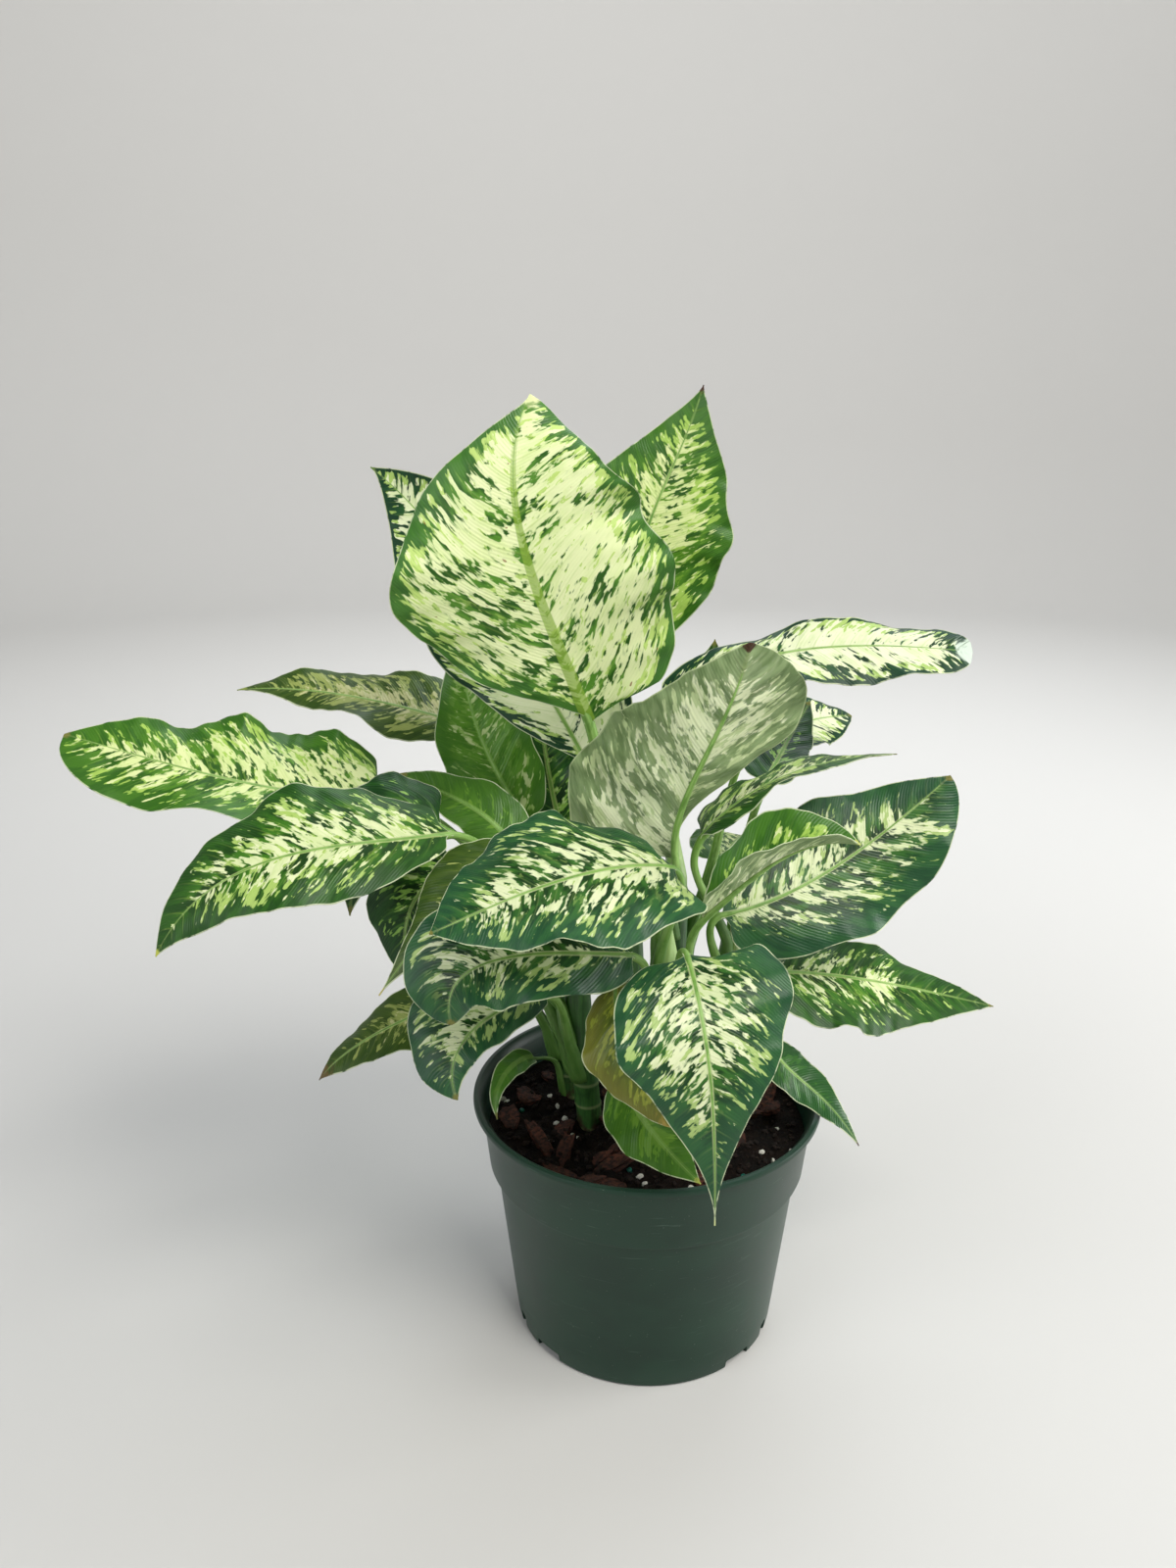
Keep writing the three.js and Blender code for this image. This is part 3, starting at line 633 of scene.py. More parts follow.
def piece_from(bm: bmesh.types.BMesh, name: str, materials: Sequence[bpy.types.Material]) -> bpy.types.Object:
    """Turns a bmesh in millimetres into an object in metres, at the origin.

    Args:
        bm: The shape, which is freed.
        name: The piece's name.
        materials: Its materials, in the order of its faces' indices.

    Returns:
        The new object.
    """
    bmesh.ops.scale(bm, vec=(MM, MM, MM), verts=bm.verts)
    mesh = bpy.data.meshes.new(name)
    bm.to_mesh(mesh)
    bm.free()
    for material in materials:
        mesh.materials.append(material)
    made = bpy.data.objects.new(name, mesh)
    bpy.context.scene.collection.objects.link(made)
    return made


def settle(piece: bpy.types.Object, node: str) -> None:
    """Puts a piece on the root body in its node's stead, and reports it.

    Args:
        piece: The finished piece.
        node: The CAD node that it stands for.
    """
    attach(piece, "root")
    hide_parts(node)
    faces = sum(len(p.vertices) - 2 for p in piece.data.polygons)
    log.info("%s: %d triangles for %s", piece.name, faces, node)


def turned(profile: Sequence[Pair], steps: int) -> bmesh.types.BMesh:
    """Turns a half section all the way round the upright axis.

    Args:
        profile: Radius and height pairs, from one end on the axis to the other.
        steps: The number of steps in the turn.

    Returns:
        The turned solid, shaded smooth.
    """
    bm = bmesh.new()
    verts = [bm.verts.new((radius, 0, height)) for radius, height in profile]
    edges = [bm.edges.new(pair) for pair in zip(verts, verts[1:])]
    bmesh.ops.spin(
        bm, geom=verts + edges, cent=(0, 0, 0), axis=UP, angle=2 * math.pi, steps=steps, use_merge=True
    )
    bmesh.ops.remove_doubles(bm, verts=bm.verts, dist=0.001)
    bmesh.ops.recalc_face_normals(bm, faces=bm.faces)
    for face in bm.faces:
        face.smooth = True
    return bm


def straight_tube(bm: bmesh.types.BMesh, sides: int, rings: int) -> list[bmesh.types.BMVert]:
    """Makes a closed tube of radius 1 along Z, with a ring at each whole height.

    Args:
        bm: The bmesh that it is added to.
        sides: The corners of a ring.
        rings: The number of rings.

    Returns:
        The tube's vertices.
    """
    circle = bmesh.ops.create_circle(bm, cap_ends=False, segments=sides, radius=1)["verts"]
    edges = list({edge for vert in circle for edge in vert.link_edges})
    verts = list(circle)
    bmesh.ops.contextual_create(bm, geom=edges)
    for _ in range(rings - 1):
        grown = bmesh.ops.extrude_edge_only(bm, edges=edges)["geom"]
        new = [g for g in grown if isinstance(g, bmesh.types.BMVert)]
        edges = [g for g in grown if isinstance(g, bmesh.types.BMEdge)]
        bmesh.ops.translate(bm, vec=UP, verts=new)
        verts += new
    bmesh.ops.contextual_create(bm, geom=edges)
    faces = list({face for vert in verts for face in vert.link_faces})
    bmesh.ops.recalc_face_normals(bm, faces=faces)
    return verts


@dataclass(frozen=True)
class BladeFinish:
    """The materials of one leaf: its upper face, its underside and its stalk."""

    look: Variegation
    seed: float
    rib: float
    tip: str
    tip_length: float
    name: str
    rib_run: float = 130.0
    dark_end: float = 24.0
    halo: float = 0.04
    vein_pitch: float = 1.6
    specular: float = 0.34
    glow_tint: str = "C6E36A"
    under_tint: str = "D2E884"
    under_cream: tuple[str, str] = ("F2F8D2", "C0D494")
    under_green: tuple[str, str] = ("66864C", "96B078")
    under_vein: str = "B9C594"
    under_rib: str = "93A65A"
    # The colour of a pale line painted along the underside's margin for light shining through the edge.
    under_edge: str = "D5DFB0"
    stalk_green: tuple[str, str] = ("76A048", "95BA68")
    stalk_cloud: str = "5A8836"
    stalk_foot: str = "3E6A2C"

    def _marks(self, paint: Paint, soft: float) -> Marks:
        """Lays out the marks that both faces share.

        Args:
            paint: The material being built.
            soft: How wide the marks' edges are, as a share of the noise's range.

        Returns:
            Masks from 0 to 1 by name, and the distances that they are made from.
        """
        look = self.look
        vein = paint.attribute("vein")
        across, along, margin = paint.parts(vein)
        base, tip, out = paint.parts(paint.attribute("place"))

        patches = paint.grain(vein, (26, 18, 0), self.seed + 3, detail=1)
        blotches = paint.grain(vein, (9, 5, 0), self.seed, detail=2, rough=0.5, distortion=0.6)
        specks = paint.grain(vein, (4.2, 2.6, 0), self.seed + 7, detail=2, rough=0.55, distortion=0.4)
        washes = paint.grain(vein, (5, 3.2, 0), self.seed + 21, detail=2, rough=0.55, distortion=0.4)
        tones = paint.grain(vein, (9, 6, 0), self.seed + 33, detail=2, rough=0.6)

        near = paint.rise(margin, look.margin * 2.6, look.margin * 0.5)
        rim = paint.rise(margin, look.margin * 0.6, look.margin * 0.2)
        end = paint.rise(tip, self.dark_end, self.dark_end / 4)
        drift = paint.times(paint.calc("SUBTRACT", patches, 0.5), 0.3)
        cover = paint.plus(paint.times(blotches, 0.54), paint.times(specks, 0.46))
        for part, share in ((drift, 1.0), (near, look.pull), (rim, 0.14), (end, 0.09)):
            cover = paint.plus(cover, paint.times(part, share))
        dark = paint.rise(cover, look.dark_from - soft, look.dark_from + soft)
        halo = paint.rise(cover, look.dark_from - soft - self.halo, look.dark_from)

        pale = paint.plus(paint.times(washes, 0.6), paint.times(specks, 0.4))
        pale = paint.plus(pale, paint.times(near, 0.16))
        light = paint.rise(pale, look.light_from - soft, look.light_from + soft)

        taper = {"From Min": 0.0, "From Max": self.rib_run, "To Min": self.rib, "To Max": self.rib * 0.2}
        rib_width = paint.node("MapRange", {"Value": base} | taper).outputs["Result"]
        off_rib = paint.calc("SUBTRACT", paint.calc("ABSOLUTE", across), rib_width)
        fade = paint.plus(paint.times(paint.rise(tip, 4, 50), 0.75), 0.25)
        wavy = paint.calc("PINGPONG", along, LeafForm.vein_step / 2)
        return {
            "along": along, "margin": margin, "tip": tip, "specks": specks, "tones": tones, "near": near,
            "dark": dark, "light": light, "halo": halo,
            "rib": paint.times(paint.rise(off_rib, 0.4, -0.1), fade),
            "line": paint.times(paint.rise(wavy, 0.7, 0.1), paint.rise(out, 0.95, 0.15)),
        }

    def _relief(self, paint: Paint, marks: Marks, strength: float) -> bpy.types.NodeSocket:
        """Bumps the face with its fine veins and pores.

        Args:
            paint: The material being built.
            marks: The marks of the face.
            strength: How strong the bump is.

        Returns:
            The bumped normal.
        """
        fine = paint.calc("SINE", paint.times(marks["along"], 2 * math.pi / self.vein_pitch))
        pores = paint.grain(paint.attribute("vein"), (0.9, 0.9, 0), self.seed, detail=2)
        height = paint.plus(paint.times(fine, 0.16), paint.times(marks["line"], 0.5))
        height = paint.plus(height, paint.times(pores, 0.35))
        return paint.bump(height, strength, 0.0004)

    def _shader(
        self, paint: Paint, color: object, roughness: object, normal: object, glow: float, glow_tint: str
    ) -> bpy.types.Material:
        """Joins a waxy surface and the light that comes through the blade.

        Args:
            paint: The material being built.
            color: The surface's colour.
            roughness: Its roughness.
            normal: Its normal.
            glow: The share of light that comes through.
            glow_tint: What tints that light.

        Returns:
            The material.
        """
        surface = paint.node("BsdfPrincipled", {
            "Base Color": color, "Roughness": roughness, "Specular IOR Level": self.specular,
            "Normal": normal,
        })
        through = paint.mix(0.55, color, linear(glow_tint), "MULTIPLY")
        glowing = paint.node("BsdfTranslucent", {"Color": through, "Normal": normal})
        joined = paint.node("MixShader", {0: glow, 1: surface.outputs[0], 2: glowing.outputs[0]})
        return paint.finish(joined.outputs[0])

    def upper(self) -> bpy.types.Material:
        """Makes the upper face's material: cream and greens in blotches along the veins.

        Returns:
            The material.
        """
        paint = Paint(self.name + "_upper")
        look = self.look
        marks = self._marks(paint, 0.01)
        tinge = paint.times(paint.rise(marks["tones"], 0.4, 0.7), 0.3)
        color = paint.mix(tinge, linear(look.cream), linear(look.light))
        color = paint.mix(paint.times(marks["light"], 0.85), color, linear(look.light))

        shade = paint.mix(paint.rise(marks["tones"], 0.42, 0.6), linear(look.dark), linear(look.green))
        shade = paint.mix(paint.times(marks["near"], 0.7), shade, linear(look.edge))
        flecks = paint.times(paint.rise(marks["specks"], 0.46, 0.4), paint.rise(marks["near"], 0.95, 0.3))
        shade = paint.mix(paint.times(flecks, look.flecks), shade, linear(look.light))
        color = paint.mix(paint.times(marks["halo"], 0.45), color, linear(look.green))
        color = paint.mix(marks["dark"], color, shade)

        color = paint.mix(paint.times(marks["line"], look.vein_tint), color, linear(look.light))
        spots = paint.grain(paint.attribute("vein"), (3, 2.2, 0), self.seed + 51, detail=1)
        rust = paint.times(paint.rise(spots, 0.76, 0.79), look.rust)
        color = paint.mix(rust, color, linear(look.rust_tint))
        color = paint.mix(paint.times(marks["rib"], 0.75), color, linear(look.rib))
        # A thin pale line painted along the margin, for light shining through the thin edge.
        line = paint.times(paint.rise(marks["margin"], 0.55, 0.3), paint.rise(marks["tones"], 0.3, 0.5))
        color = paint.mix(paint.times(line, 0.75), color, linear(look.outline))
        # The tip colour: a dry tip on most leaves, a painted bluish-white sheen on right_high.
        color = paint.mix(self._tip_share(paint, marks), color, linear(self.tip))
        roughness = paint.plus(paint.times(marks["specks"], 0.12), look.sheen)
        return self._shader(paint, color, roughness, self._relief(paint, marks, 0.5), 0.2, self.glow_tint)

    def _tip_share(self, paint: Paint, marks: Marks) -> bpy.types.NodeSocket:
        """Masks the blade's tip with a ragged end: a dry tip, or on right_high a painted bluish-white sheen.
        """
        ragged = paint.times(paint.calc("SUBTRACT", marks["specks"], 0.5), self.tip_length * 1.5)
        return paint.rise(paint.plus(marks["tip"], ragged), self.tip_length, self.tip_length * 0.5)

    def under(self) -> bpy.types.Material:
        """Makes the underside's material, paler and duller than the upper face.

        Returns:
            The material.
        """
        paint = Paint(self.name + "_under")
        look = self.look
        marks = self._marks(paint, 0.03)
        cream = [linear(code) for code in self.under_cream]
        green = [linear(code) for code in self.under_green]
        color = paint.mix(paint.times(marks["light"], 0.75), *cream)
        dull = paint.mix(paint.rise(marks["tones"], 0.38, 0.6), *green)
        dull = paint.mix(0.14, dull, linear(look.dark))
        color = paint.mix(paint.times(marks["dark"], 0.86), color, dull)
        color = paint.mix(paint.times(marks["line"], 0.35), color, linear(self.under_vein))
        color = paint.mix(marks["rib"], color, linear(self.under_rib))
        # A pale line painted along the margin, for light shining through the thin edge.
        edge = paint.times(paint.rise(marks["margin"], 0.7, 0.3), 0.6)
        color = paint.mix(edge, color, linear(self.under_edge))
        # The tip colour: a dry tip on most leaves, a painted bluish-white sheen on right_high.
        color = paint.mix(self._tip_share(paint, marks), color, linear(self.tip))
        return self._shader(paint, color, 0.55, self._relief(paint, marks, 0.8), 0.26, self.under_tint)

    def stalk(self) -> bpy.types.Material:
        """Makes the stalk's material: pale green with fine streaks along it.

        Returns:
            The material.
        """
        paint = Paint(self.name + "_stalk")
        place = paint.attribute("vein")
        streaks = paint.grain(place, (1.2, 26, 0), self.seed, detail=2)
        clouds = paint.grain(place, (5, 9, 0), self.seed + 5, detail=3, rough=0.6)
        _, run, _ = paint.parts(place)
        dark, light = [linear(code) for code in self.stalk_green]
        color = paint.mix(paint.rise(streaks, 0.35, 0.7), dark, light)
        color = paint.mix(paint.times(paint.rise(clouds, 0.5, 0.62), 0.55), color, linear(self.stalk_cloud))
        color = paint.mix(paint.times(paint.rise(run, 70, 15), 0.7), color, linear(self.stalk_foot))
        normal = paint.bump(streaks, 0.3, 0.0003)
        return self._shader(paint, color, 0.42, normal, 0.1, self.glow_tint)


class LeafForm:
    """Works out one leaf's surfaces from its sizes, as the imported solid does, with finer relief."""

    blade_thickness = 0.62
    stalk_root = 3.0
    stalk_tip = 1.7
    vein_step = 8.0
    vein_slant = 0.62
    vein_sweep = 0.3
    vein_wander = 3.0
    frill = 0.045
    frills = 3.6
    pucker = 0.26
    crinkle = 0.032
    swell = 1.3

    def __init__(self, spec: LeafSpec) -> None:
        """Sets up the leaf's curves.

        Args:
            spec: The leaf's sizes.
        """
        self.spec = spec
        self.spine = Cubic.through(spec.spine)
        steps = [self.spine.point(k / 40) for k in range(41)]
        self.length = sum((b - a).length for a, b in zip(steps, steps[1:]))
        self.ups = (Vector(spec.up[0]), Vector(spec.up[1]))
        self.phase = (sum(map(ord, spec.name)) % 97) / 97 * 6.28
        self._frames: dict[float, tuple[Vector, Vector, Vector, Vector]] = {}

    def frame_at(self, t: float) -> tuple[Vector, Vector, Vector, Vector]:
        """Works out how the blade stands at a place on its midrib.

        Args:
            t: How far along the midrib, from 0 to 1.

        Returns:
            The place, the midrib's direction, the way the face looks, and the way to the right half.
        """
        if t not in self._frames:
            along = self.spine.tangent(t)
            out = self.ups[0].lerp(self.ups[1], t)
            out = (out - along * out.dot(along)).normalized()
            self._frames[t] = (self.spine.point(t), along, out, along.cross(out))
        return self._frames[t]

    def width(self, t: float, side: int) -> tuple[float, float]:
        """Works out how wide a half of the blade is.

        Args:
            t: How far along the midrib, from 0 to 1.
            side: 0 for the left half and 1 for the right half.

        Returns:
            The outline's share of the widest place, and the width in millimetres.
        """
        rise, fall = self.spec.shape[side]
        widest = rise / (rise + fall)
        body = (t / widest) ** rise * ((1 - t) / (1 - widest)) ** fall
        base = self.stalk_tip * self.spec.stalk * max(0.0, 1 - t / 0.05)
        ripple = math.sin(2 * math.pi * self.frills * t + self.phase * 3 + side * 2.2)
        frilled = 1 + self.frill * ripple * math.sin(math.pi * t)
        return body, max(self.spec.half[side] * body * frilled * min(1.0, t / 0.05), 0.3, base)

    def blade(self, t: float, u: float, layer: float) -> tuple[Vector, Vector, Vector]:
        """Works out a point of the blade.

        Args:
            t: How far along the midrib, from 0 to 1.
            u: How far to the left margin, -1, or to the right margin, 1.
            layer: 0 on the upper face and 1 on the underside.

        Returns:
            The point, its vein coordinates and its place coordinates, in millimetres.
        """
        spec = self.spec
        side = 0 if u < 0 else 1
        sign = -1.0 if u < 0 else 1.0
        v = abs(u)
        centre, along, out, across = self.frame_at(t)
        body, width = self.width(t, side)
        start = math.radians(spec.fold[side])
        bend = math.radians(spec.curl[side]) + 1e-6
        slope = start + bend * v
        reach = width * (math.sin(slope) - math.sin(start)) / bend
        rise = width * (math.cos(start) - math.cos(slope)) / bend
        ripple = spec.wave[side] * body * v * v
        ripple *= math.sin(2 * math.pi * (spec.waves[side] * t + spec.phase[side]))
        past = max(0.0, t - 0.03) / 0.06
        back = spec.lobe[side] * spec.half[side] * v * v * past * math.exp(1 - past)
        off = width * v
        stretch = self.length * t

        wander = self.vein_wander * noise.noise((off * 0.05 * sign, stretch * 0.03, self.phase))
        vein = stretch - self.vein_slant * off - self.vein_sweep * off * v - wander
        pucker = self.pucker * math.cos(2 * math.pi * vein / self.vein_step)
        pucker *= math.sin(math.pi * min(1, v * 1.02)) * body
        turns = 2 * math.pi * spec.waves[side] * t
        crinkle = math.sin(2.3 * turns + self.phase + side * 2)
        crinkle += 0.5 * math.sin(5.3 * turns + self.phase * 2 + side)
        crinkle *= self.crinkle * spec.half[side] * body * v * v * v * min(1, 8 * t)
        lift = noise.noise((off * 0.045 * sign, stretch * 0.045, self.phase + 9)) * self.swell * body * v
        ridge = 0.4 * spec.rib * (1 - t) * math.exp(-((off / spec.rib) ** 2)) * smooth(0, 0.05, t)
        folds = noise.noise((off * 0.03 * sign, vein * 0.11, self.phase + 20)) * smooth(0, 0.3, v)
        lift += pucker + crinkle + ridge + spec.crumple * folds * body

        point = centre + across * (reach * sign) + out * (rise + ripple + lift) - along * back
        if layer:
            normal = out * math.cos(slope) - across * (math.sin(slope) * sign)
            point -= normal * self.blade_thickness * (1 - 0.6 * v**8) * (1 if t < 0.97 else 0.7)
        tip = math.hypot(self.length - stretch, off)
        return within_box(point), Vector((off * sign, vein, width - off)), Vector((stretch, tip, v))

    def stalk_curve(self) -> Cubic:
        """Lays out the stalk's line.

        Returns:
            The curve from the stalk's root beside the cane to the blade's base.
        """
        spec = self.spec
        cane = CANES[spec.cane]
        axis = cane.at(spec.root)
        base, along, _, _ = self.frame_at(0.0)
        outward = Vector((base.x - axis.x, base.y - axis.y, 0)).normalized()
        turn = math.radians(spec.turn)
        outward = Vector((
            outward.x * math.cos(turn) - outward.y * math.sin(turn),
            outward.x * math.sin(turn) + outward.y * math.cos(turn),
            0,
        ))
        lean = math.radians(spec.lean)
        root = axis + outward * (cane.radius(spec.root) + 0.3 + self.stalk_root * spec.stalk * math.cos(lean))
        reach = (base - root).length
        start = outward * math.sin(lean) + UP * math.cos(lean)
        arrive = ((base - root).normalized() * 0.25 + along * 0.75).normalized()
        return Cubic(root, root + start * (reach * 0.4), base - arrive * (reach * 0.3), base.copy())


@dataclass
class Leaf:
    """A leaf: a thin waved blade, and a stalk that runs on under it as the midrib."""

    spec: LeafSpec
    columns: int = 34
    stalk_sides: int = 14
    stalk_rings: int = 34
    rib_rings: int = 40
    sheath_rings: int = 6
    sheath_step: float = 3.2
    row_step: float = 1.35
    rows: tuple[int, int] = (56, 120)
    sink: float = 0.62
    form: LeafForm = field(init=False)

    def __post_init__(self) -> None:
        """Works out the leaf's form."""
        self.form = LeafForm(self.spec)

    def _blade(self, bm: bmesh.types.BMesh, layers: tuple) -> None:
        """Adds the blade: a flat grid, thickened, and then laid out by the leaf's form.

        Args:
            bm: The bmesh that it is added to.
            layers: The vein and place layers.
        """
        rows = max(self.rows[0], min(self.rows[1], round(self.form.length / self.row_step)))
        grid = bmesh.ops.create_grid(bm, x_segments=self.columns, y_segments=rows, size=1)["verts"]
        faces = list({face for vert in grid for face in vert.link_faces})
        grown = bmesh.ops.extrude_face_region(bm, geom=faces, use_keep_orig=True)["geom"]
        lower = [g for g in grown if isinstance(g, bmesh.types.BMVert)]
        bmesh.ops.translate(bm, vec=-UP, verts=lower)
        bmesh.ops.recalc_face_normals(bm, faces=bm.faces)
        for face in bm.faces:
            face.smooth = True
            face.material_index = 1 if face.normal.z < -0.5 else 0
        for edge in bm.edges:
            edge.smooth = len({abs(face.normal.z) > 0.5 for face in edge.link_faces}) == 1
        for vert in list(grid) + lower:
            x, y, z = vert.co
            a = min(1.0, abs(x))
            spread = a**1.3 * (1 - a) + (1 - (1 - a) ** 1.3) * a
            even = (y + 1) / 2
            t = min(1.0, max(0.0, 0.5 * even + 0.25 * (1 - math.cos(math.pi * even))))
            vert.co, vert[layers[0]], vert[layers[1]] = self.form.blade(t, math.copysign(spread, x), -z)

    def _rings(self) -> list[Ring]:
        """Lays out the stalk's rings, from its sheath on the cane to the end of the midrib.

        Returns:
            For each ring its centre, its direction, its radius and how deep its groove is.
        """
        form, spec = self.form, self.spec
        curve = form.stalk_curve()
        cane = CANES[spec.cane]
        rings: list[Ring] = []
        out = form.frame_at(0.0)[2]
        for k in range(self.stalk_rings, -1, -1):
            s = k / self.stalk_rings
            along = curve.tangent(s)
            out = (out - along * out.dot(along)).normalized()
            radius = spec.stalk * blend(form.stalk_root, form.stalk_tip, min(1.0, s * 1.6))
            centre = curve.point(s) - out * (radius * self.sink * smooth(0.7, 1.0, s))
            rings.insert(0, (centre, along, radius, 1 - smooth(0.35, 0.75, s)))
        root, axis = rings[0][0], cane.at(spec.root)
        outward = Vector((root.x - axis.x, root.y - axis.y, 0)).normalized()
        for k in range(1, self.sheath_rings + 1):
            height = spec.root - self.sheath_step * k
            radius = spec.stalk * form.stalk_root * (1 + 0.1 * k)
            inset = cane.radius(height) + radius * (0.75 - 0.17 * k)
            rings.insert(0, (cane.at(height) + outward * inset, UP, radius, 0.6))
        for k in range(1, self.rib_rings + 1):
            t = 0.95 * k / self.rib_rings
            place, along, out_here, _ = form.frame_at(t)
            radius = max(0.22, spec.stalk * form.stalk_tip * (1 - t) ** 0.75)
            rings.append((place - out_here * (radius * self.sink), along, radius, 0.0))
        return rings

    def _stalk(self, bm: bmesh.types.BMesh, layers: tuple) -> None:
        """Adds the stalk and the midrib: a straight tube, bent along the leaf's line.

        Args:
            bm: The bmesh that it is added to.
            layers: The vein and place layers.
        """
        rings = self._rings()
        facing = self.form.frame_at(0.0)[2]
        frames = []
        for centre, along, radius, groove in reversed(rings):
            facing = (facing - along * facing.dot(along)).normalized()
            frames.insert(0, (centre, along.cross(facing), facing, radius, groove))
        run = [0.0]
        for a, b in zip(rings, rings[1:]):
            run.append(run[-1] + (b[0] - a[0]).length)
        first_face = len(bm.faces)
        verts = straight_tube(bm, self.stalk_sides, len(rings))
        bm.faces.ensure_lookup_table()
        for face in bm.faces[first_face:]:
            face.smooth = True
            face.material_index = 2
        for vert in verts:
            index = min(len(rings) - 1, max(0, round(vert.co.z)))
            angle = math.atan2(vert.co.y, vert.co.x)
            centre, across, facing, radius, groove = frames[index]
            dent = 1 - 0.34 * groove * math.exp(-(((angle - math.pi / 2) / 0.55) ** 2))
            vert.co = centre + (across * math.cos(angle) + facing * math.sin(angle)) * (radius * dent)
            vert[layers[0]] = Vector((angle * radius, run[index], 9.0))
            vert[layers[1]] = Vector((run[index], 60.0, 0.5))

    def build(self) -> bpy.types.Object:
        """Builds and dresses the leaf.

        Returns:
            The leaf as one object.
        """
        spec = self.spec
        bm = bmesh.new()
        layers = (bm.verts.layers.float_vector.new("vein"), bm.verts.layers.float_vector.new("place"))
        self._blade(bm, layers)
        self._stalk(bm, layers)
        look = FINISHES[spec.mottle]
        dark_from = look.dark_from - spec.darker + spec.creamier
        look = replace(look, dark_from=dark_from, light_from=look.light_from + spec.creamier)
        seed = (sum(ord(c) * (i + 3) for i, c in enumerate(spec.name)) % 211) * 1.37
        finish = BladeFinish(look, seed, spec.rib, spec.tip, spec.tip_length, spec.name)
        made = piece_from(bm, "foliage_" + spec.name, [finish.upper(), finish.under(), finish.stalk()])
        slots = dict.fromkeys((Mottle.PLAIN, Mottle.PATCHY, Mottle.SHADED), "leaf_green")
        slots[Mottle.YELLOWING] = "leaf_yellowing"
        settle(made, "leaf_" + spec.name)
        return made


@dataclass(frozen=True)
class CaneFinish:
    """A cane's skin: green with pale scars, brown where the soil splashes it, and a pale young leaf.

    Attributes:
        name: The material's name.
        tip: The height of the young leaf's tip.
        scar_gap: The distance between scars.
        scar_top: The height where the scars end.
        dark: Its darker colour.
        light: Its lighter colour.
        cloud: The colour of its clouds.
        scar: The colour of its scars.
        young: The colour of the young leaf.
        soiled: The colour of the splashes.
    """

    name: str
    tip: float
    scar_gap: float
    scar_top: float
    dark: str = "294E22"
    light: str = "3C6A2E"
    cloud: str = "22451F"
    scar: str = "98A070"
    young: str = "B6D488"
    soiled: str = "3A2A1E"

    def material(self) -> bpy.types.Material:
        """Makes the material.

        Returns:
            The material.
        """
        paint = Paint(self.name)
        place = paint.object_place()
        _, _, height = paint.parts(place)
        streaks = paint.grain(place, (0.0012, 0.0012, 0.02), 4, detail=2)
        clouds = paint.grain(place, (0.006, 0.006, 0.008), 9, detail=3)
        ring = paint.calc("PINGPONG", paint.plus(height, -0.004), self.scar_gap * MM / 2)
        color = paint.mix(paint.rise(streaks, 0.3, 0.7), linear(self.dark), linear(self.light))
        color = paint.mix(paint.times(paint.rise(clouds, 0.5, 0.65), 0.5), color, linear(self.cloud))
        low = paint.rise(height, self.scar_top * MM, (self.scar_top - 20) * MM)
        scar = paint.times(paint.rise(ring, 0.0011, 0.0003), low)
        color = paint.mix(paint.times(scar, 0.4), color, linear(self.scar))
        young = paint.rise(height, (self.tip - 40) * MM, (self.tip - 12) * MM)
        color = paint.mix(paint.times(young, 0.75), color, linear(self.young))
        soiled = paint.times(paint.rise(height, 0.112, 0.1), paint.rise(clouds, 0.4, 0.55))
        color = paint.mix(soiled, color, linear(self.soiled))
        surface = paint.node("BsdfPrincipled", {
            "Base Color": color, "Roughness": 0.45, "Normal": paint.bump(streaks, 0.35, 0.0004),
        })
        return paint.finish(surface.outputs[0])


@dataclass
class Cane:
    """A shoot: a green cane ringed by old leaf scars, ending in a rolled young leaf."""

    name: str
    axis: CaneAxis
    sides: int = 28
    step: float = 1.5
    scar_gap: float = 12
    scar_top: float = 150
    sink: float = 20

    def _radius(self, height: float, angle: float) -> float:
        """The surface's distance from the axis.

        Args:
            height: The height above the pot's foot.
            angle: The bearing round the axis.

        Returns:
            The radius in millimetres.
        """
        base = self.axis.radius(height)
        left = self.axis.tip[2] - height
        scar = math.cos(2 * math.pi * (height - 4 + math.sin(angle + height * 0.02)) / self.scar_gap)
        ring = 0.5 * max(0.0, scar) ** 6 * (1 - smooth(self.scar_top - 12, self.scar_top, height))
        roll = (angle / (2 * math.pi) + left * 0.012) % 1.0
        lap = 0.16 * roll * base * (1 - smooth(30, 60, left))
        bulge = 0.22 * noise.noise((math.cos(angle) * 1.2, math.sin(angle) * 1.2, height * 0.08))
        return base * (0.92 if left < 30 else 1.0) + ring + lap + bulge * min(1.0, base / 4)

    def build(self) -> bpy.types.Object:
        """Builds and dresses the cane.

        Returns:
            The cane as one object.
        """
        bottom, top = self.axis.soil_level - self.sink, self.axis.tip[2]
        rings = round((top - bottom) / self.step) + 1
        bm = bmesh.new()
        for vert in straight_tube(bm, self.sides, rings):
            height = blend(bottom, top, min(1.0, max(0.0, vert.co.z / (rings - 1))))
            angle = math.atan2(vert.co.y, vert.co.x)
            way = Vector((math.cos(angle), math.sin(angle), 0))
            vert.co = self.axis.at(height) + way * self._radius(height, angle)
        for face in bm.faces:
            face.smooth = len(face.verts) == 4
        skin = CaneFinish(self.name + "_skin", self.axis.tip[2], self.scar_gap, self.scar_top)
        made = piece_from(bm, self.name.replace("cane", "shoot"), [skin.material()])
        settle(made, self.name)
        return made


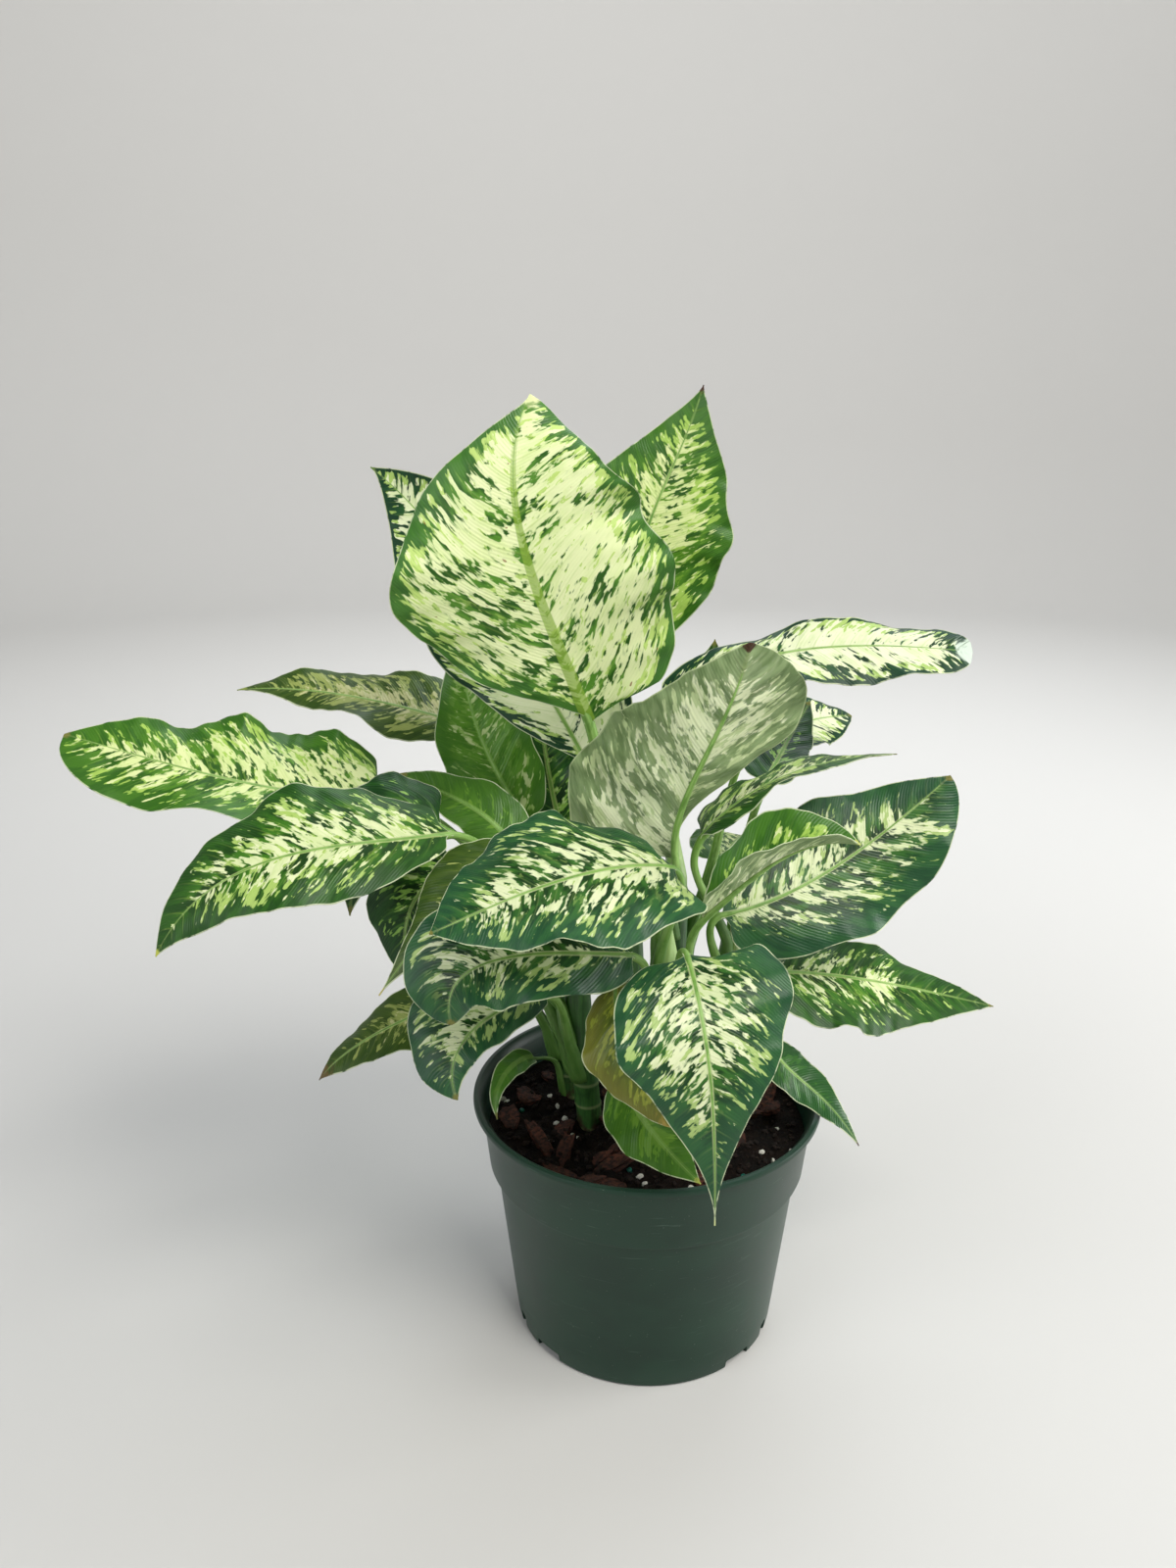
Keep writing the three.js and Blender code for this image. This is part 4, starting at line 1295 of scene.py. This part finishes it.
@dataclass(frozen=True)
class PlasticFinish:
    """Dark green plastic with a satin skin, faint scuffs and dust."""

    dark: str = "182F24"
    light: str = "1E392B"
    scuff: str = "6C8476"
    dust: str = "7E8A7C"
    specular: float = 0.26

    def material(self) -> bpy.types.Material:
        """Makes the material.

        Returns:
            The material.
        """
        paint = Paint("green_plastic")
        place = paint.object_place()
        clouds = paint.grain(place, (0.05, 0.05, 0.03), 2, detail=3)
        scuffs = paint.grain(place, (0.02, 0.02, 0.0012), 6, detail=2)
        dust = paint.grain(place, (0.0011, 0.0011, 0.0011), 11, detail=1)
        skin = paint.grain(place, (0.0006, 0.0006, 0.0006), 1, detail=1)
        color = paint.mix(paint.rise(clouds, 0.3, 0.7), linear(self.dark), linear(self.light))
        color = paint.mix(paint.times(paint.rise(scuffs, 0.66, 0.78), 0.2), color, linear(self.scuff))
        color = paint.mix(paint.times(paint.rise(dust, 0.76, 0.8), 0.35), color, linear(self.dust))
        roughness = paint.plus(paint.times(clouds, 0.14), 0.28)
        surface = paint.node("BsdfPrincipled", {
            "Base Color": color, "Roughness": roughness, "Specular IOR Level": self.specular,
            "Normal": paint.bump(skin, 0.12, 0.0002),
        })
        return paint.finish(surface.outputs[0])


@dataclass
class Pot:
    """The nursery pot: a turned plastic shell with gaps under its foot and drain slots."""

    height: float = 118
    rim: float = 82.5
    lip: float = 3
    wall: float = 1.8
    floor_top: float = 5.6
    steps: int = 160
    foot_gap_bearings: tuple[float, ...] = (45, 135, 225, 315)
    drain_bearings: tuple[float, ...] = (24, 156, 204, 336)
    foot_gap: Triple = (20, 15, 8.4)
    drain_slot: Triple = (20, 6, 14)
    gap_starts: Pair = (56, 55.5)
    corner: float = 1
    sharp_angle: float = 32

    def _profile(self) -> list[Pair]:
        """Lays out the half section, from the axis under the pot round to the axis inside it.

        Returns:
            Radius and height pairs.
        """
        top, rim, wall, floor = self.height, self.rim, self.wall, self.floor_top
        under = top - self.lip
        ring = [(0, 0), (19.4, 0), (20.4, 0.5), (21, 2), (54, 2), (54.9, 1.5), (55.6, 0)]
        outside = [(61.6, 0), (62.6, 0.5), (63, 2), (64.2, 12), (72, 81.5), (72.5, 82.6)]
        outside += [(75, 84), (75.4, 85), (78.6, 114.2), (78.9, 114.8)]
        lip = [(rim - 0.8, under), (rim - 0.2, under + 0.3), (rim, under + 1), (rim, top - 1)]
        lip += [(rim - 0.3, top - 0.3), (rim - 1, top), (rim - 2.3, top), (rim - 2.9, top - 0.4)]
        inside = [(76.9, 113.6), (75.4 - wall, 84.5), (72 - wall, 80.5), (64.2 - wall, 12)]
        return ring + outside + lip + inside + [(59.5, floor + 0.8), (58, floor), (0, floor)]

    def _cutter(self, size: Triple, bearing: float, inner: float) -> bpy.types.Object:
        """Makes a block that cuts a gap.

        Args:
            size: The block's length outward, width and height.
            bearing: Where it stands round the pot, in degrees.
            inner: The radius where it starts.

        Returns:
            The block.
        """
        bm = bmesh.new()
        bmesh.ops.create_cube(bm, size=1)
        bmesh.ops.scale(bm, vec=size, verts=bm.verts)
        bmesh.ops.bevel(
            bm, geom=bm.edges, offset=self.corner, offset_type="OFFSET", affect="EDGES",
            segments=3, profile=0.5, material=-1,
        )
        turn = math.radians(bearing)
        way = Vector((math.cos(turn), math.sin(turn), 0))
        for vert in bm.verts:
            x, y, z = vert.co
            vert.co = way * (x + inner + size[0] / 2) + UP.cross(way) * y + UP * z
        return piece_from(bm, f"cutter_{bearing:.0f}", [])

    def build(self) -> bpy.types.Object:
        """Builds and dresses the pot.

        Returns:
            The pot as one object.
        """
        made = piece_from(turned(self._profile(), self.steps), "nursery_pot", [PlasticFinish().material()])
        cutters = [self._cutter(self.foot_gap, b, self.gap_starts[0]) for b in self.foot_gap_bearings]
        cutters += [self._cutter(self.drain_slot, b, self.gap_starts[1]) for b in self.drain_bearings]
        for cutter in cutters:
            cut = made.modifiers.new("gap", "BOOLEAN")
            cut.operation, cut.object, cut.solver = "DIFFERENCE", cutter, "EXACT"
            with bpy.context.temp_override(object=made, active_object=made, selected_objects=[made]):
                bpy.ops.object.modifier_apply(modifier=cut.name)
        for cutter in cutters:
            bpy.data.meshes.remove(cutter.data)
        made.data.set_sharp_from_angle(angle=math.radians(self.sharp_angle))
        settle(made, "pot")
        return made


@dataclass(frozen=True)
class PeatFinish:
    """Damp peat, brown to almost black, with paler fibres."""

    dark: str = "090604"
    light: str = "1A110C"
    fibre: str = "3A281C"
    roughness: float = 0.9

    def material(self) -> bpy.types.Material:
        """Makes the material.

        Returns:
            The material.
        """
        paint = Paint("damp_peat")
        place = paint.object_place()
        lumps = paint.grain(place, (0.007, 0.007, 0.007), 3, detail=4, rough=0.65)
        fibres = paint.grain(place, (0.0016, 0.0016, 0.0016), 8, detail=3, rough=0.7)
        color = paint.mix(paint.rise(lumps, 0.35, 0.68), linear(self.dark), linear(self.light))
        color = paint.mix(paint.times(paint.rise(fibres, 0.6, 0.72), 0.6), color, linear(self.fibre))
        height = paint.plus(fibres, paint.times(lumps, 1.5))
        surface = paint.node("BsdfPrincipled", {
            "Base Color": color, "Roughness": self.roughness, "Specular IOR Level": 0.15,
            "Normal": paint.bump(height, 0.9, 0.0016),
        })
        return paint.finish(surface.outputs[0])


@dataclass(frozen=True)
class Bit:
    """One kind of loose bit on the mix.

    Attributes:
        name: Its material's name.
        slot: Its material's index.
        count: How many are tried.
        size: The least and most of its length, width and height.
        detail: 0 for a split chip, 1 or more for a rounded grain.
        sunk: The share of its height that is in the mix.
        colors: Its darker and its lighter colour.
        grain: The size of its grain in millimetres.
        roughness: Its roughness.
    """

    name: str
    slot: int
    count: int
    size: tuple[Pair, Pair, Pair]
    detail: int
    sunk: float
    colors: tuple[str, str]
    grain: float
    roughness: float

    def material(self) -> bpy.types.Material:
        """Makes the material.

        Returns:
            The material.
        """
        low, high = linear(self.colors[0]), linear(self.colors[1])
        paint = Paint(self.name)
        place = paint.object_place()
        size = self.grain * MM
        grain = paint.grain(place, (size, size, size * 0.5), 5, detail=3, rough=0.65)
        patch = paint.grain(place, (0.012, 0.012, 0.012), 13, detail=1)
        color = paint.mix(paint.rise(grain, 0.35, 0.65), low, high)
        color = paint.mix(paint.times(paint.rise(patch, 0.4, 0.6), 0.45), color, low)
        surface = paint.node("BsdfPrincipled", {
            "Base Color": color, "Roughness": self.roughness, "Specular IOR Level": 0.25,
            "Normal": paint.bump(grain, 0.6, 0.0006),
        })
        return paint.finish(surface.outputs[0])


BITS = (
    Bit("crumb", 1, 620, ((1.6, 4.6), (1.4, 3.4), (1.2, 2.6)), 1, 0.2, ("0C0806", "2A1C15"), 1.2, 0.9),
    Bit("bark", 0, 60, ((7, 22), (4, 11), (1.8, 3.8)), 0, 0.1, ("1C0E0A", "583123"), 2.0, 0.75),
    Bit("perlite", 2, 85, ((1.2, 4), (1.2, 3.4), (1.2, 2.8)), 2, 0.2, ("B9B6AC", "E4E1D8"), 1.0, 0.8),
    Bit("feed_bead", 3, 4, ((2.6, 2.6), (2.6, 2.6), (2.6, 2.6)), 2, 0.1, ("0E4A40", "176A58"), 1.5, 0.4),
)


@dataclass
class Soil:
    """Potting mix with bark chips, crumbs and perlite on it."""

    level: float = 102
    rim: float = 75.4
    steps: int = 220
    rings: int = 72
    spread: float = 74
    room: float = 5
    seed: int = 5

    def height(self, x: float, y: float) -> float:
        """Works out the surface's height.

        Args:
            x: The place's distance to the right of the axis.
            y: Its distance behind the axis.

        Returns:
            The height above the pot's foot.
        """
        lumps = 1.3 * math.sin(x * 0.17 + 1) * math.cos(y * 0.21) + 0.9 * math.sin(x * 0.4 - y * 0.33)
        settle_in = 1 - smooth(64, 74, math.hypot(x, y))
        fine = 1.3 * noise.noise((x * 0.16, y * 0.16, 3)) + 0.8 * noise.noise((x * 0.5, y * 0.5, 7))
        return self.level - 1.4 + (lumps + fine) * settle_in

    def _ground(self) -> bpy.types.Object:
        """Builds the body of the mix: a turned solid with a crumbly top.

        Returns:
            The mix as one object.
        """
        edge = self.rim - 0.2
        profile = [(0, 6.2), (58.6, 6.2), (62, 12), (69.8, 81.6), (73.1, 84.8), (edge, self.level - 1.4)]
        profile += [(edge * (1 - k / self.rings), self.level) for k in range(1, self.rings + 1)]
        bm = turned(profile, self.steps)
        for vert in bm.verts:
            x, y, z = vert.co
            if z > self.level - 0.5:
                crumble = 1.1 * noise.noise((x * 0.9, y * 0.9, 1)) * (1 - smooth(70, 75, math.hypot(x, y)))
                vert.co.z = self.height(x, y) + crumble
        return piece_from(bm, "potting_mix", [PeatFinish().material()])

    def _spot(self, draw: random.Random, room: float) -> Pair | None:
        """Draws a free place for a bit.

        Args:
            draw: The seeded generator.
            room: Half the bit's length.

        Returns:
            The place, or nothing where a cane or the wall is near.
        """
        angle, radius = draw.uniform(0, 2 * math.pi), self.spread * math.sqrt(draw.random())
        x, y = radius * math.cos(angle), radius * math.sin(angle)
        gaps = (math.hypot(x - axis.foot[0], y - axis.foot[1]) for axis in CANES.values())
        clear = all(gap > self.room + room for gap in gaps)
        return (x, y) if clear and radius + room < self.spread + 0.5 else None

    def _bit(self, bm: bmesh.types.BMesh, kind: Bit, draw: random.Random) -> None:
        """Adds one bit, turned and sunk into the mix, where the drawn place is free.

        Args:
            bm: The bmesh that it is added to.
            kind: The kind of bit.
            draw: The seeded generator.
        """
        length, width, high = [draw.uniform(a, b) if a < b else a for a, b in kind.size]
        place = self._spot(draw, length / 2)
        if place is None:
            return
        verts = bmesh.ops.create_icosphere(bm, subdivisions=kind.detail or 3, radius=0.5)["verts"]
        if not kind.detail:
            for vert in verts:
                vert.co *= 0.5 / max(abs(part) for part in vert.co)
        shift = Vector((draw.uniform(0, 100), 0, 0))
        turn, tilt, roll = draw.uniform(0, 6.28), draw.gauss(0, 0.28), draw.gauss(0, 0.22)
        x, y = place
        floor = self.height(x, y) + high * (0.5 - kind.sunk)
        for vert in set(verts):
            p = vert.co
            rough = 1 + 0.42 * noise.noise(p * 2.3 + shift)
            taper = 1 - (0.35 * p.x * p.x * 4 if not kind.detail else 0)
            a, b, c = p.x * length * rough, p.y * width * rough * taper, p.z * high * rough * taper
            b, c = b * math.cos(roll) - c * math.sin(roll), b * math.sin(roll) + c * math.cos(roll)
            a, c = a * math.cos(tilt) - c * math.sin(tilt), a * math.sin(tilt) + c * math.cos(tilt)
            vert.co = (
                x + a * math.cos(turn) - b * math.sin(turn),
                y + a * math.sin(turn) + b * math.cos(turn),
                floor + c,
            )
        for face in {face for vert in set(verts) for face in vert.link_faces}:
            face.material_index = kind.slot

    def _bits(self) -> bpy.types.Object:
        """Builds the loose bits on the mix, placed by a seeded rule clear of the canes.

        Returns:
            The bits as one object.
        """
        draw = random.Random(self.seed)
        bm = bmesh.new()
        for kind in BITS:
            for _ in range(kind.count):
                self._bit(bm, kind, draw)
        bmesh.ops.recalc_face_normals(bm, faces=bm.faces)
        kinds = sorted(BITS, key=lambda kind: kind.slot)
        return piece_from(bm, "bark_and_perlite", [kind.material() for kind in kinds])

    def build(self) -> list[bpy.types.Object]:
        """Builds and dresses the soil.

        Returns:
            The mix and the loose bits.
        """
        made = [self._ground(), self._bits()]
        for piece in made:
            settle(piece, "soil")
        return made


@dataclass(frozen=True)
class Lamp:
    """A square soft light.

    Attributes:
        name: Its name.
        place: Where it hangs, in metres.
        size: Its side in metres.
        power: Its power in watts.
        tint: Its colour.
        aim: The place that it looks at, in metres.
    """

    name: str
    place: Triple
    size: float
    power: float
    tint: str
    aim: Triple = (0, 0, 0.22)

    def hang(self) -> None:
        """Hangs the light in the scene."""
        data = bpy.data.lights.new(self.name, "AREA")
        data.shape, data.size, data.energy = "SQUARE", self.size, self.power
        data.color = linear(self.tint)[:3]
        lamp = bpy.data.objects.new(self.name, data)
        lamp.location = self.place
        way = Vector(self.aim) - Vector(self.place)
        lamp.rotation_euler = way.to_track_quat("-Z", "Y").to_euler()
        bpy.context.scene.collection.objects.link(lamp)


LAMPS = (
    Lamp("window", (0.6, -0.8, 1.5), 0.8, 25, "FFFDF8"),
    Lamp("fill", (-1.3, -1.2, 0.9), 1.2, 15, "F8FAFF"),
    Lamp("sky", (0.3, 1.1, 1.7), 1.2, 14, "EEF6FF"),
    Lamp("side", (1.3, 0.15, 0.35), 0.7, 12, "FFFFFF", (0, 0, 0.08)),
    Lamp("backdrop", (0, 1.0, 1.9), 2.0, 38, "FFFFFF", (0, 3.0, 0.9)),
)


@dataclass
class Studio:
    """The floor, the soft lights and the camera at the photograph's place."""

    camera_place: Triple = (0, -0.5232, 0.4327)
    pitch: float = 17.32
    yaw: float = 3.06
    lens: float = 28.44
    flat_radius: float = 2.2
    sweep_radius: float = 0.9
    wall_top: float = 2.6
    sky_tint: str = "E9ECEF"
    sky_strength: float = 0.22

    def _stage(self) -> None:
        """Makes a floor that sweeps up into a wall all round."""
        bm = bmesh.new()
        verts = [bm.verts.new((0, 0, -0.0004)), bm.verts.new((self.flat_radius, 0, -0.0004))]
        for k in range(1, 13):
            angle = math.pi / 2 * k / 12
            reach = self.flat_radius + self.sweep_radius * math.sin(angle)
            verts.append(bm.verts.new((reach, 0, self.sweep_radius * (1 - math.cos(angle)))))
        verts.append(bm.verts.new((self.flat_radius + self.sweep_radius, 0, self.wall_top)))
        edges = [bm.edges.new(pair) for pair in zip(verts, verts[1:])]
        bmesh.ops.spin(
            bm, geom=verts + edges, cent=(0, 0, 0), axis=UP, angle=2 * math.pi, steps=96, use_merge=True
        )
        bmesh.ops.remove_doubles(bm, verts=bm.verts, dist=0.0001)
        for face in bm.faces:
            face.smooth = True
            if face.normal.z + 0.001 < 0:
                face.normal_flip()
        paint = Paint("pale_stage")
        surface = paint.node("BsdfPrincipled", {"Base Color": linear("C6C5C2"), "Roughness": 0.85})
        mesh = bpy.data.meshes.new("stage")
        bm.to_mesh(mesh)
        bm.free()
        mesh.materials.append(paint.finish(surface.outputs[0]))
        stage = bpy.data.objects.new("stage", mesh)
        bpy.context.scene.collection.objects.link(stage)

    def build(self) -> None:
        """Sets up the stage, the lights and the camera."""
        self._stage()
        for lamp in LAMPS:
            lamp.hang()
        world = bpy.data.worlds.new("soft")
        world.use_nodes = True
        sky = world.node_tree.nodes["Background"].inputs
        sky[0].default_value = linear(self.sky_tint)
        sky[1].default_value = self.sky_strength
        bpy.context.scene.world = world
        pitch, yaw = math.radians(self.pitch), math.radians(self.yaw)
        level = math.cos(pitch)
        forward = Vector((-math.sin(yaw) * level, math.cos(yaw) * level, -math.sin(pitch)))
        data = bpy.data.cameras.new("camera")
        data.lens, data.sensor_width, data.clip_start = self.lens, 36, 0.01
        camera = bpy.data.objects.new("camera", data)
        camera.location = self.camera_place
        camera.rotation_euler = forward.to_track_quat("-Z", "Y").to_euler()
        bpy.context.scene.collection.objects.link(camera)
        bpy.context.scene.camera = camera
        bpy.context.scene.view_settings.view_transform = "Standard"


def main() -> None:
    """Builds every piece in order."""
    logging.basicConfig(level=logging.INFO, format="%(name)s: %(message)s")
    Studio().build()
    Pot().build()
    Soil().build()
    for name, axis in CANES.items():
        Cane(name, axis).build()
    for spec in LEAVES:
        Leaf(spec).build()


if __name__ == "__main__":
    main()
